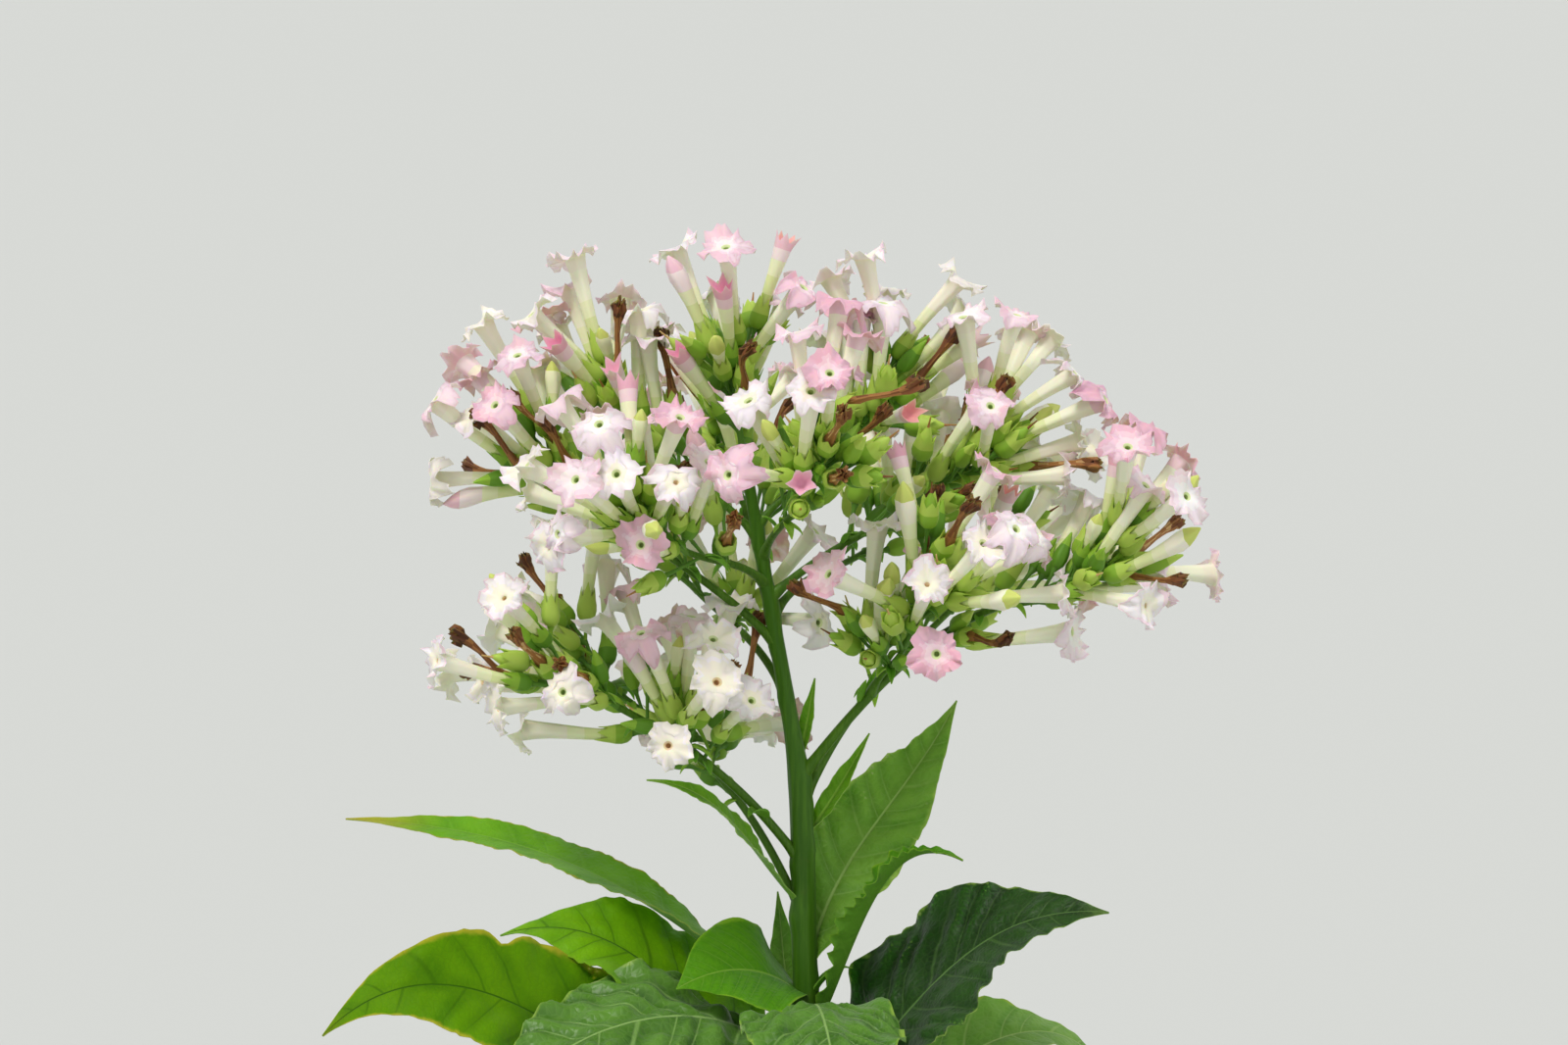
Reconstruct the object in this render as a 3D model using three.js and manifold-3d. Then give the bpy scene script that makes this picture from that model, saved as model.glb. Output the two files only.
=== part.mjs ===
// A tobacco plant in flower: one stem, its leaves, and a wide panicle of trumpet flowers.
// Millimetres. +Z is up, +X is to the right, +Y is away from the front. The origin is the middle
// of the stem's flat foot, at ground level.

import * as THREE from 'three';
import Module from 'manifold-3d';

const wasm = await Module();
wasm.setup();

// Clear gap that is kept between neighbouring pieces.
const GAP = 0.3;

// Stem: it stands nearly straight up to the fork, and leans to the left above it.
const STEM_HEIGHT = 1150;
const FORK_HEIGHT = 998;
const LEAN_ABOVE_FORK = 0.176;
const FORK_SOFTNESS = 15;
const BOW_RIGHT = 7;
const BOW_AWAY = 5;
const STEM_SIDES = 10;
const STEM_STEPS = 15;
// Heights with the stem's radius there: flared foot, long taper, step down past the fork.
const STEM_TAPER = [
  [0, 17], [28, 13.6], [300, 11.4], [600, 8.8], [905, 5.6], [995, 5.1], [1020, 3.8], [STEM_HEIGHT, 2.4],
];

// Boughs. Height of the root on the stem, heading (0 right, 90 away, 180 left, 270 front), reach
// outward and rise to the tip, steepness in degrees at the root and at the tip, radius at both.
const BOUGHS = [
  ['left_low', 958, 196, 86, 77, 54, 30, 2.2, 1.6],
  ['left_low_back', 932, 162, 74, 90, 66, 32, 2.0, 1.5],
  ['right_low', 997, 348, 106, 88, 52, 18, 2.4, 1.6],
  ['right_low_back', 984, 44, 98, 80, 58, 30, 2.2, 1.5],
  ['back_low', 1034, 124, 76, 40, 50, 24, 2.0, 1.5],
  ['left_high', 1059, 184, 76, 60, 46, 36, 2.0, 1.5],
  ['back_left', 1074, 100, 78, 40, 48, 30, 2.0, 1.5],
  ['right_high', 1080, 4, 68, 44, 42, 32, 2.0, 1.5],
  ['left_front', 1086, 228, 54, 22, 40, 24, 1.9, 1.4],
  ['back_right', 1072, 50, 78, 26, 42, 26, 1.9, 1.4],
  ['front', 1098, 290, 46, 30, 50, 34, 1.8, 1.4],
  ['left_top', 1106, 168, 42, 34, 54, 38, 1.8, 1.4],
  ['right_top', 1112, 14, 36, 30, 56, 40, 1.7, 1.3],
].map(([name, from, ...sizes]) => ({ name, from, ...boughSizes(sizes) }));
// One bough forks off another, at this share of that one's length.
const CARRIER_BOUGH = 'right_low';
const INNER_BOUGH = { name: 'right_inner', share: 0.36, ...boughSizes([300, 30, 28, 60, 56, 1.6, 1.3]) };
const BOUGH_SIDES = 6;
const BOUGH_STEPS = 6;

// Leaves round the top of the leafy stem, and narrow bracts under the lowest boughs. Height of the
// root, heading, reach and rise of the tip, steepness at root and tip, full width, roll of the
// blade, how far its halves fold up in degrees, and the depth of the waves along its edge.
const UPPER_LEAVES = [
  ['leaf_upright_right', 906, 48, 106, 113, 74, 50, 46, -32, 12, 1.5],
  ['leaf_curled_right', 875, 336, 76, 92, 60, -22, 22, -10, 38, 2],
  ['leaf_broad_right', 837, 346, 138, 107, 47, -2, 86, -34, 10, 5],
  ['leaf_pale_right', 796, 20, 142, 59, 52, -50, 64, -21, 8, 4],
  ['leaf_back', 791, 92, 160, 29, 58, -52, 80, 0, -6, 4],
  ['leaf_front', 880, 277, 124, -24, 60, -66, 72, -1, -8, 3.5],
  ['leaf_small_left', 896, 208, 66, 12, 46, -24, 58, 34, 8, 1],
  ['leaf_crinkled_left', 855, 214, 172, 7, 60, -50, 84, 23, -6, 5],
  ['leaf_yellow_left', 766, 194, 224, 127, 50, -44, 85, 42, 8, 4],
  ['leaf_lobed_left', 815, 172, 143, 106, 56, -20, 74, 25, 8, 5],
  ['leaf_long_left', 879, 156, 238, 80, 42, -3, 36, 5, 12, 1.5],
  ['leaf_upright_left', 853, 114, 34, 86, 56, 80, 21, 7, 20, 1],
  ['bract_left', 938, 206, 78, 66, 46, 8, 15, 30, 14, 1],
  ['bract_right_back', 1003, 60, 16, 38, 62, 70, 7, 0, 20, 0.4],
  ['bract_right_broad', 968, 22, 33, 48, 52, 60, 10, -30, 20, 0.5],
].map(leafRow);

// Large leaves lower down follow one spiral.
const LOWER_LEAF_COUNT = 10;
const LOWEST_LEAF = 270;
const LEAF_SPACING = 52;
const SPIRAL_ANGLE = 137.5;
const SPIRAL_START = 30;
const LOWER_LEAF = { drop: 0.12, root: 56, end: -58, roll: 6, fold: -6, wave: 6 };
const LOWEST_LEAF_REACH = 370;
const REACH_LOSS = 17;
const WIDTH_SHARE = 0.48;

// Leaf solids: length of a step along the blade with the fewest and the most steps, places across
// the upper and the under face from edge to edge, thickness, the waves along the edges, and the
// share of the length over which the blade's roll sets in.
const LEAF_STEP_LENGTH = 26;
const FEWEST_LEAF_STEPS = 7;
const MOST_LEAF_STEPS = 8;
const TOP_ACROSS = [-1, -0.5, 0, 0.5, 1];
const UNDER_ACROSS = [0.88, 0, -0.88];
const LEAF_THICKNESS_SHARE = 1 / 85;
const THINNEST_LEAF = 0.9;
const WAVES_PER_LEAF = 3;
const WAVE_SHIFT = 2;
const ROLL_SETTLES_AT = 1 / 3;
// Shape of a blade: how far before the middle it is widest, how pointed it is, and the width of its
// foot and of its tip as shares of the full width.
const WIDEST_EARLY = 0.86;
const BLADE_POINT = 1.2;
const FOOT_WING = 0.13;
const TIP_WIDTH = 0.02;
// A limb's line is pulled towards its root's and its tip's direction over this part of its length.
const PULL_SHARE = 1 / 2.6;

// Flower heads: the stem of each head goes on from its bough and bears flowers in turn, with
// short side twigs that bear more.
const HEAD_NODES = 4;
const HEAD_STEP = 11;
const STEP_LOSS = 0.9;
const ZIGZAG = 0.24;
const LIFT = 0.1;
const TWIG_RADII = [1.5, 0.9];
const TWIG_SIDES = 3;
const SIDE_TWIGS = 3;
const SIDE_TWIG_LENGTH = 18;
const SIDE_TWIG_RADIUS = 0.8;
const TWIG_OPENING = 48;
// Flowers on the nodes open by this angle, less at each node. Those on a side twig and at the end
// of a head's stem have the share of the twig, the opening, the turn and the added age.
const FLOWER_OPENING = 52;
const CLOSING_PER_NODE = 6;
const SIDE_FLOWERS = [[1, 12, 0, 1], [1, 44, 180, 1], [0.6, 52, 90, 0]];
const END_FLOWERS = [[8, 0], [40, 240]];
const OPENING_SPREAD = 16;
const TURN_ON_RETRY = 70;
// Flowers lean away from the heart of the panicle and upward, and none hangs.
const PANICLE_HEART = new THREE.Vector3(-10, 0, 1050);
const FAN_OUT = 0.55;
const FLOWER_LIFT = 0.25;
const LOWEST_SLOPE = 0.05;
// How far a head's flowers may reach from its foot, the gap kept to all else, how close flowers of
// one head may stand as a share of their radii, and how many flowers a head bears.
const HEAD_SPACE = 104;
const CLEARANCE = 0.5;
const CROWDING = 0.6;
const TRIES = 5;
const MOST_FLOWERS = 9;
const HEAD_SEED = 4100;
// Chances of a withered flower and of a bud, on the two oldest nodes and beyond them, and the
// chance of a flower that is half open.
const OLD_AGE = 2;
const WITHERED_CHANCE = [0.4, 0.12];
const BUD_CHANCE = [0.1, 0.24];
const OPENING_CHANCE = 0.14;

// Flower stages. Each profile gives distance along the flower, radius and sides, from the foot of
// the flower stalk to the mouth, and reach is where the closing point lies.
const STALK = 8;
const CALYX_END = STALK + 15;
const STAGES = {
  open: {
    profile: [
      [0, 0.9, 3], [STALK, 1, 3], [STALK + 9, 4.4, 5], [STALK + 19, 2.5, 5], [STALK + 43, 3.4, 5],
      [STALK + 50, 10.8, 5],
    ],
    reach: STALK + 47,
    mouth: 10.8,
  },
  opening: {
    profile: [
      [0, 0.9, 3], [STALK, 1, 3], [STALK + 8, 4.2, 5], [STALK + 18, 2.4, 5], [STALK + 38, 4.2, 5],
    ],
    reach: STALK + 48,
    mouth: 4.2,
  },
  bud: {
    profile: [
      [0, 0.8, 3], [STALK, 0.9, 3], [STALK + 6, 3.6, 4], [STALK + 14, 2.2, 4], [STALK + 24, 3.6, 4],
    ],
    reach: STALK + 29,
    mouth: 3.6,
  },
  withered: {
    profile: [
      [0, 0.9, 3], [STALK, 1.1, 3], [STALK + 8, 4.8, 5], [STALK + 17, 2, 3], [STALK + 34, 2, 3],
      [STALK + 39, 4.4, 4],
    ],
    reach: STALK + 42,
    mouth: 4.4,
  },
};
// Room that a flower takes up: round its calyx, round its tube, and round the last of its mouth.
const CALYX_RADIUS = 4.8;
const TUBE_RADIUS = 4.4;
const MOUTH_DEPTH = 3;
// A side twig is held clear of its neighbours from here on.
const TWIG_CLEAR_FROM = 4;

const MATERIALS = {
  stem: new THREE.MeshStandardMaterial({ color: 0x4f7f38, roughness: 0.6, metalness: 0 }),
  leaf: new THREE.MeshStandardMaterial({ color: 0x3f7a35, roughness: 0.55, metalness: 0 }),
  flower: new THREE.MeshStandardMaterial({ color: 0xeec4dc, roughness: 0.65, metalness: 0 }),
};

const UP = new THREE.Vector3(0, 0, 1);
const radians = THREE.MathUtils.degToRad;
const mix = THREE.MathUtils.lerp;

// Random numbers from 0 to 1 that are the same on every run.
function seeded(seed) {
  let state = seed;
  return () => {
    state = (state * 16807) % 2147483647;
    return (state - 1) / 2147483646;
  };
}

function boughSizes([heading, reach, rise, root, end, rootRadius, tipRadius]) {
  return { heading, reach, rise, root, end, rootRadius, tipRadius };
}

function leafRow([name, from, heading, reach, rise, root, end, width, roll, fold, wave]) {
  return { name, from, heading, reach, rise, root, end, width, roll, fold, wave };
}

// The point of the stem's middle line at a height.
function stemPoint(height) {
  const past = height - FORK_HEIGHT;
  const hinge = (past + Math.hypot(past, FORK_SOFTNESS)) / 2;
  const share = Math.min(height / FORK_HEIGHT, 1);
  return new THREE.Vector3(
    BOW_RIGHT * Math.sin(Math.PI * share) - LEAN_ABOVE_FORK * hinge,
    BOW_AWAY * Math.sin(2 * Math.PI * share),
    height,
  );
}

function stemRadius(height) {
  for (let i = 1; i < STEM_TAPER.length; i += 1) {
    const [low, wide] = STEM_TAPER[i - 1];
    const [high, narrow] = STEM_TAPER[i];
    if (height <= high) {
      return mix(wide, narrow, (height - low) / (high - low));
    }
  }
  return STEM_TAPER[STEM_TAPER.length - 1][1];
}

function outward(heading, steepness) {
  const flat = Math.cos(radians(steepness));
  return new THREE.Vector3(
    flat * Math.cos(radians(heading)),
    flat * Math.sin(radians(heading)),
    Math.sin(radians(steepness)),
  );
}

// A smooth line from a root to its tip, leaving and arriving at the given steepness.
function growthLine(root, limb) {
  const tip = root.clone();
  tip.addScaledVector(outward(limb.heading, 0), limb.reach);
  tip.z += limb.rise;
  const pull = root.distanceTo(tip) * PULL_SHARE;
  const leave = root.clone().addScaledVector(outward(limb.heading, limb.root), pull);
  const arrive = tip.clone().addScaledVector(outward(limb.heading, limb.end), -pull);
  return new THREE.CubicBezierCurve3(root, leave, arrive, tip);
}

// A closed skin over rings of points that start at the same angle. Each end closes to a point, or
// flat where no point is given.
function skin(rings, first = null, last = null) {
  const points = rings.flat();
  const index = [];
  const starts = [];
  rings.reduce((sum, ringPoints) => {
    starts.push(sum);
    return sum + ringPoints.length;
  }, 0);
  const closeEnd = (ring, pole, outwards) => {
    const count = rings[ring].length;
    const centre = pole ? points.push(pole) - 1 : starts[ring];
    for (let i = pole ? 0 : 1; i < (pole ? count : count - 1); i += 1) {
      const here = starts[ring] + i;
      const next = starts[ring] + ((i + 1) % count);
      index.push(centre, outwards ? here : next, outwards ? next : here);
    }
  };
  for (let ring = 0; ring + 1 < rings.length; ring += 1) {
    const below = rings[ring].length;
    const above = rings[ring + 1].length;
    let i = 0;
    let j = 0;
    while (i < below || j < above) {
      const low = starts[ring] + (i % below);
      const high = starts[ring + 1] + (j % above);
      if ((i + 1) / below <= (j + 1) / above) {
        i += 1;
        index.push(low, starts[ring] + (i % below), high);
      } else {
        j += 1;
        index.push(low, starts[ring + 1] + (j % above), high);
      }
    }
  }
  closeEnd(0, first, false);
  closeEnd(rings.length - 1, last, true);
  const geometry = new THREE.BufferGeometry().setFromPoints(points);
  geometry.setIndex(index);
  return geometry;
}

// Two directions square to a direction, so that side, up and the direction are right-handed.
function squareTo(direction) {
  const helper = Math.abs(direction.z) > 0.9 ? new THREE.Vector3(1, 0, 0) : UP;
  const side = new THREE.Vector3().crossVectors(helper, direction).normalize();
  const up = new THREE.Vector3().crossVectors(direction, side);
  return [side, up];
}

function ring(centre, direction, radius, sides) {
  const [side, up] = squareTo(direction);
  const points = [];
  for (let i = 0; i < sides; i += 1) {
    const angle = (2 * Math.PI * i) / sides;
    const point = centre.clone().addScaledVector(side, radius * Math.cos(angle));
    points.push(point.addScaledVector(up, radius * Math.sin(angle)));
  }
  return points;
}

// A round limb along a list of points, with a radius at each.
function limb(points, radii, sides) {
  const rings = points.map((point, i) => {
    const before = points[Math.max(i - 1, 0)];
    const after = points[Math.min(i + 1, points.length - 1)];
    const direction = after.clone().sub(before).normalize();
    return ring(point, direction, radii[i], sides);
  });
  return skin(rings);
}

function toSolid(geometry) {
  const mesh = new wasm.Mesh({
    numProp: 3,
    vertProperties: new Float32Array(geometry.attributes.position.array),
    triVerts: new Uint32Array(geometry.index.array),
  });
  mesh.merge();
  return new wasm.Manifold(mesh);
}

function toGeometry(solid) {
  const mesh = solid.getMesh();
  const geometry = new THREE.BufferGeometry();
  geometry.setAttribute('position', new THREE.BufferAttribute(new Float32Array(mesh.vertProperties), 3));
  geometry.setIndex(new THREE.BufferAttribute(new Uint32Array(mesh.triVerts), 1));
  return geometry;
}

// The largest body of a solid: a loose scrap of a cut is dropped.
function largestBody(solid) {
  const bodies = solid.decompose();
  return bodies.reduce((best, body) => (body.volume() > best.volume() ? body : best));
}

const plant = new THREE.Group();
plant.name = 'tobacco_plant';

function addNode(name, geometry, material) {
  geometry.computeVertexNormals();
  const mesh = new THREE.Mesh(geometry, material);
  mesh.name = name;
  plant.add(mesh);
}

// Stem, with a copy that is wider by the gap, to cut the roots of boughs and leaves.
const stemHeights = [0, STEM_TAPER[1][0]];
for (let i = 1; i <= STEM_STEPS; i += 1) {
  stemHeights.push(mix(STEM_TAPER[1][0], STEM_HEIGHT, i / STEM_STEPS));
}

function stemSolid(extra) {
  const rings = stemHeights.map((height) => {
    const radius = stemRadius(height) + extra;
    return ring(stemPoint(height), UP, radius, STEM_SIDES);
  });
  return skin(rings);
}

const stemCutter = toSolid(stemSolid(GAP));
addNode('stem', stemSolid(0), MATERIALS.stem);

// What is already taken, as straight lines with a radius and the name of their owner.
const taken = [];

function take(points, radii, owner) {
  for (let i = 1; i < points.length; i += 1) {
    taken.push({ from: points[i - 1], to: points[i], radius: Math.max(radii[i - 1], radii[i]), owner });
  }
}

take(stemHeights.map(stemPoint), stemHeights.map(stemRadius), 'stem');

// Boughs: each is cut to seat on what carries it.
const heads = [];

function addBough(bough, root, cutter) {
  const curve = growthLine(root, bough);
  const points = curve.getPoints(BOUGH_STEPS);
  const radii = points.map((point, i) => mix(bough.rootRadius, bough.tipRadius, i / BOUGH_STEPS));
  const solid = toSolid(limb(points, radii, BOUGH_SIDES));
  addNode(`bough_${bough.name}`, toGeometry(largestBody(solid.subtract(cutter))), MATERIALS.stem);
  take(points, radii, `bough_${bough.name}`);
  const direction = outward(bough.heading, bough.end);
  heads.push({ name: bough.name, start: points[BOUGH_STEPS], direction });
  return { curve, points, radii };
}

for (const bough of BOUGHS) {
  const grown = addBough(bough, stemPoint(bough.from), stemCutter);
  if (bough.name === CARRIER_BOUGH) {
    const wider = grown.radii.map((radius) => radius + GAP);
    const cutter = toSolid(limb(grown.points, wider, BOUGH_SIDES));
    addBough(INNER_BOUGH, grown.curve.getPoint(INNER_BOUGH.share), cutter);
  }
}
heads.push({
  name: 'crown',
  start: stemPoint(STEM_HEIGHT),
  direction: new THREE.Vector3(-LEAN_ABOVE_FORK, 0, 1).normalize(),
});

// Half width along a leaf: winged foot, widest before the middle, pointed tip.
function halfWidth(leaf, share) {
  const blade = Math.sin(Math.PI * share ** WIDEST_EARLY) ** BLADE_POINT;
  return Math.max(blade, FOOT_WING * (1 - share), TIP_WIDTH) * leaf.width / 2;
}

function leafSolid(leaf) {
  const curve = growthLine(stemPoint(leaf.from), leaf);
  const length = curve.getLength();
  const thickness = Math.max(length * LEAF_THICKNESS_SHARE, THINNEST_LEAF);
  const level = outward(leaf.heading - 90, 0);
  const wished = Math.round(length / LEAF_STEP_LENGTH);
  const steps = THREE.MathUtils.clamp(wished, FEWEST_LEAF_STEPS, MOST_LEAF_STEPS);
  const rings = [];
  for (let i = 0; i <= steps; i += 1) {
    const share = i / steps;
    const middle = curve.getPoint(share);
    const along = curve.getTangent(share);
    const flatNormal = new THREE.Vector3().crossVectors(level, along).normalize();
    const roll = radians(leaf.roll) * Math.min(share / ROLL_SETTLES_AT, 1);
    const side = level.clone().multiplyScalar(Math.cos(roll));
    side.addScaledVector(flatNormal, Math.sin(roll));
    const normal = new THREE.Vector3().crossVectors(side, along).normalize();
    const half = halfWidth(leaf, share);
    const place = (across, offset) => {
      const fold = radians(leaf.fold);
      const swing = 2 * Math.PI * WAVES_PER_LEAF * share + (across > 0 ? 0 : WAVE_SHIFT);
      const wave = leaf.wave * across * across * Math.sin(swing) * half / (leaf.width / 2);
      const lift = Math.abs(across) * half * Math.sin(fold) + wave;
      const point = middle.clone().addScaledVector(side, across * half * Math.cos(fold));
      return point.addScaledVector(normal, lift + offset);
    };
    const top = TOP_ACROSS.map((across) => place(across, thickness / 2));
    const under = UNDER_ACROSS.map((across) => place(across, -thickness / 2));
    rings.push([...top, ...under]);
  }
  return skin(rings);
}

const lowerLeaves = [];
for (let i = 0; i < LOWER_LEAF_COUNT; i += 1) {
  const reach = LOWEST_LEAF_REACH - REACH_LOSS * i;
  lowerLeaves.push({
    name: `leaf_lower_${i + 1}`,
    from: LOWEST_LEAF + LEAF_SPACING * i,
    heading: SPIRAL_START + SPIRAL_ANGLE * i,
    reach,
    rise: -LOWER_LEAF.drop * reach,
    root: LOWER_LEAF.root,
    end: LOWER_LEAF.end,
    width: WIDTH_SHARE * reach,
    roll: i % 2 === 0 ? LOWER_LEAF.roll : -LOWER_LEAF.roll,
    fold: LOWER_LEAF.fold,
    wave: LOWER_LEAF.wave,
  });
}

for (const leaf of [...UPPER_LEAVES, ...lowerLeaves]) {
  const solid = toSolid(leafSolid(leaf)).subtract(stemCutter);
  addNode(leaf.name, toGeometry(largestBody(solid)), MATERIALS.leaf);
}
for (const leaf of UPPER_LEAVES) {
  const points = growthLine(stemPoint(leaf.from), leaf).getPoints(MOST_LEAF_STEPS);
  take(points, points.map((point, i) => halfWidth(leaf, i / MOST_LEAF_STEPS)), leaf.name);
}

// The distance between two straight lines, end to end.
function lineGap(a, b) {
  const along = a.to.clone().sub(a.from);
  const across = b.to.clone().sub(b.from);
  const between = a.from.clone().sub(b.from);
  const aa = along.dot(along);
  const bb = across.dot(across);
  const ab = along.dot(across);
  const ar = along.dot(between);
  const br = across.dot(between);
  const spread = aa * bb - ab * ab;
  const clamp = (value) => THREE.MathUtils.clamp(value, 0, 1);
  let s = spread > 1e-9 ? clamp((ab * br - ar * bb) / spread) : 0;
  let t = (ab * s + br) / bb;
  if (t < 0 || t > 1) {
    t = clamp(t);
    s = clamp((ab * t - ar) / aa);
  }
  return between.addScaledVector(along, s).addScaledVector(across, -t).length();
}

// Whether lines stand clear of all that is taken. Flowers of one head may come closer together.
function standsClear(lines, owner) {
  return taken.every((other) => lines.every((line) => {
    const both = line.radius + other.radius;
    const room = other.owner === owner ? both * CROWDING : both + CLEARANCE;
    return lineGap(line, other) > room;
  }));
}

// A direction that opens from an axis by an angle, turned round it.
function openedFrom(axis, opening, turn) {
  const [side, up] = squareTo(axis);
  const direction = axis.clone().multiplyScalar(Math.cos(radians(opening)));
  direction.addScaledVector(side, Math.sin(radians(opening)) * Math.cos(radians(turn)));
  return direction.addScaledVector(up, Math.sin(radians(opening)) * Math.sin(radians(turn)));
}

function pickStage(chance, age) {
  const old = age < OLD_AGE ? 0 : 1;
  const withered = WITHERED_CHANCE[old];
  const bud = withered + BUD_CHANCE[old];
  if (chance < withered) {
    return 'withered';
  }
  if (chance < bud) {
    return 'bud';
  }
  return chance < bud + OPENING_CHANCE ? 'opening' : 'open';
}

function awayFromHeart(point) {
  return point.clone().sub(PANICLE_HEART).normalize();
}

// The zigzag stem of a head: its points and the way that it takes at each node.
function headStem(head) {
  const [sway] = squareTo(head.direction);
  const points = [head.start.clone().addScaledVector(head.direction, GAP)];
  const ways = [];
  for (let k = 0; k < HEAD_NODES; k += 1) {
    const way = head.direction.clone().addScaledVector(sway, k % 2 === 0 ? ZIGZAG : -ZIGZAG);
    way.addScaledVector(UP, LIFT).normalize();
    points.push(points[k].clone().addScaledVector(way, HEAD_STEP * STEP_LOSS ** k));
    ways.push(way);
  }
  return { points, ways };
}

// One head of flowers, grown by a seeded rule: returns its twigs and its flowers.
function growHead(head, seed) {
  const random = seeded(seed);
  const owner = `flowers_${head.name}`;
  const flowers = [];

  const tryFlower = (point, axis, opening, turn, age) => {
    const stage = pickStage(random(), age);
    const { reach, mouth } = STAGES[stage];
    for (let attempt = 0; attempt < TRIES; attempt += 1) {
      const open = opening + OPENING_SPREAD * (random() - 0.5);
      const direction = openedFrom(axis, open, turn + TURN_ON_RETRY * attempt * random());
      direction.addScaledVector(awayFromHeart(point), FAN_OUT);
      direction.addScaledVector(UP, FLOWER_LIFT);
      direction.z = Math.max(direction.z, LOWEST_SLOPE);
      direction.normalize();
      const at = (distance) => point.clone().addScaledVector(direction, distance);
      const lines = [
        { from: at(STALK), to: at(CALYX_END), radius: CALYX_RADIUS, owner },
        { from: at(CALYX_END), to: at(reach), radius: TUBE_RADIUS, owner },
        { from: at(reach - MOUTH_DEPTH), to: at(reach), radius: mouth, owner },
      ];
      const inside = at(reach).distanceTo(head.start) < HEAD_SPACE;
      if (flowers.length < MOST_FLOWERS && inside && standsClear(lines, owner)) {
        taken.push(...lines);
        flowers.push({ point: point.clone(), direction, stage });
        return;
      }
    }
  };

  const phase = 360 * random();
  const { points, ways } = headStem(head);
  const radii = points.map((point, i) => mix(TWIG_RADII[0], TWIG_RADII[1], i / HEAD_NODES));
  const twigs = [{ points, radii }];
  take(points, points.map(() => 0), owner);

  ways.forEach((way, k) => {
    const node = points[k + 1];
    const turn = phase + SPIRAL_ANGLE * k;
    if (k < SIDE_TWIGS) {
      const side = openedFrom(way, TWIG_OPENING, turn + 180);
      side.addScaledVector(awayFromHeart(node), FAN_OUT / 2).normalize();
      const at = (distance) => node.clone().addScaledVector(side, distance);
      const twig = { from: at(TWIG_CLEAR_FROM), to: at(SIDE_TWIG_LENGTH), radius: SIDE_TWIG_RADIUS };
      if (standsClear([twig], owner)) {
        taken.push({ ...twig, radius: 0, owner });
        twigs.push({ points: [node, twig.to], radii: [SIDE_TWIG_RADIUS, SIDE_TWIG_RADIUS] });
        for (const [share, opening, sideTurn, older] of SIDE_FLOWERS) {
          tryFlower(at(SIDE_TWIG_LENGTH * share), side, opening, turn + sideTurn, k + older);
        }
      }
    }
    tryFlower(node, way, FLOWER_OPENING - CLOSING_PER_NODE * k, turn, k);
  });
  for (const [opening, turn] of END_FLOWERS) {
    tryFlower(points[HEAD_NODES], ways[HEAD_NODES - 1], opening, phase + turn, HEAD_NODES);
  }
  return { twigs, flowers };
}

function flowerSolid(flower) {
  const at = (distance) => flower.point.clone().addScaledVector(flower.direction, distance);
  const stage = STAGES[flower.stage];
  const rings = stage.profile.map(([distance, radius, sides]) => (
    ring(at(distance), flower.direction, radius, sides)
  ));
  return skin(rings, null, at(stage.reach));
}

heads.forEach((head, i) => {
  const grown = growHead(head, HEAD_SEED + i);
  const solids = grown.twigs.map((twig) => toSolid(limb(twig.points, twig.radii, TWIG_SIDES)));
  solids.push(...grown.flowers.map((flower) => toSolid(flowerSolid(flower))));
  addNode(`flowers_${head.name}`, toGeometry(wasm.Manifold.union(solids)), MATERIALS.flower);
});

export default plant;
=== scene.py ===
import math

import bpy
import numpy as np
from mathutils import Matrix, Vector


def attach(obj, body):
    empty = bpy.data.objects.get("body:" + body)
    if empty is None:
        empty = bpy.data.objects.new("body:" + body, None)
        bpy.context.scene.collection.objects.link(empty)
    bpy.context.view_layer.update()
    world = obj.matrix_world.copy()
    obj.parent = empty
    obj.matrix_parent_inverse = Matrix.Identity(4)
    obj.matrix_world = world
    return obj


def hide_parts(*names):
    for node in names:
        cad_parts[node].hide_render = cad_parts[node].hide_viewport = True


# A tobacco plant in flower: the looks of its stem, boughs, leaves and flower heads.
# Sizes are in millimetres until a mesh is made. +Z is up, +X is to the right, +Y is away from the
# front. The plant grows here by the rule that its solids were grown by, and goes on to finer twigs.

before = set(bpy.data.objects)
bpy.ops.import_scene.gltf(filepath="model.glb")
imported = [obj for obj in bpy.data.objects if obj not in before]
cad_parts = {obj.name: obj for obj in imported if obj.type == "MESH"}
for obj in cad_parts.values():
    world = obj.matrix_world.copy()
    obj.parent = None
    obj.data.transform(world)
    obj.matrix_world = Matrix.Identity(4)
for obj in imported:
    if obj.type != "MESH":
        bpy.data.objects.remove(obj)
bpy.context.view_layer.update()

MM = 0.001
UP = np.array([0.0, 0.0, 1.0])
ACROSS_X = np.array([1.0, 0.0, 0.0])
AWAY = np.array([0.0, 1.0, 0.0])
NEARLY_UPRIGHT = 0.9
PARALLEL = 1e-9

# Stem: nearly straight up to the fork, leaning to the left above it.
STEM_HEIGHT = 1150.0
FORK_HEIGHT = 998.0
LEAN_ABOVE_FORK = 0.176
FORK_SOFTNESS = 15.0
BOW_RIGHT = 7.0
BOW_AWAY = 5.0
STEM_TAPER = np.array([
    [0, 17], [28, 13.6], [300, 11.4], [600, 8.8], [905, 5.6], [995, 5.1], [1020, 3.8], [STEM_HEIGHT, 2.4],
], float)
STEM_STEPS = 16
STEM_COLUMNS = 48
STEM_ROW_STEP = 2.6
# Scars of leaves that have dropped, below the lowest leaf.
SCAR_HEIGHTS = (62, 114, 166, 218)

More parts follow.
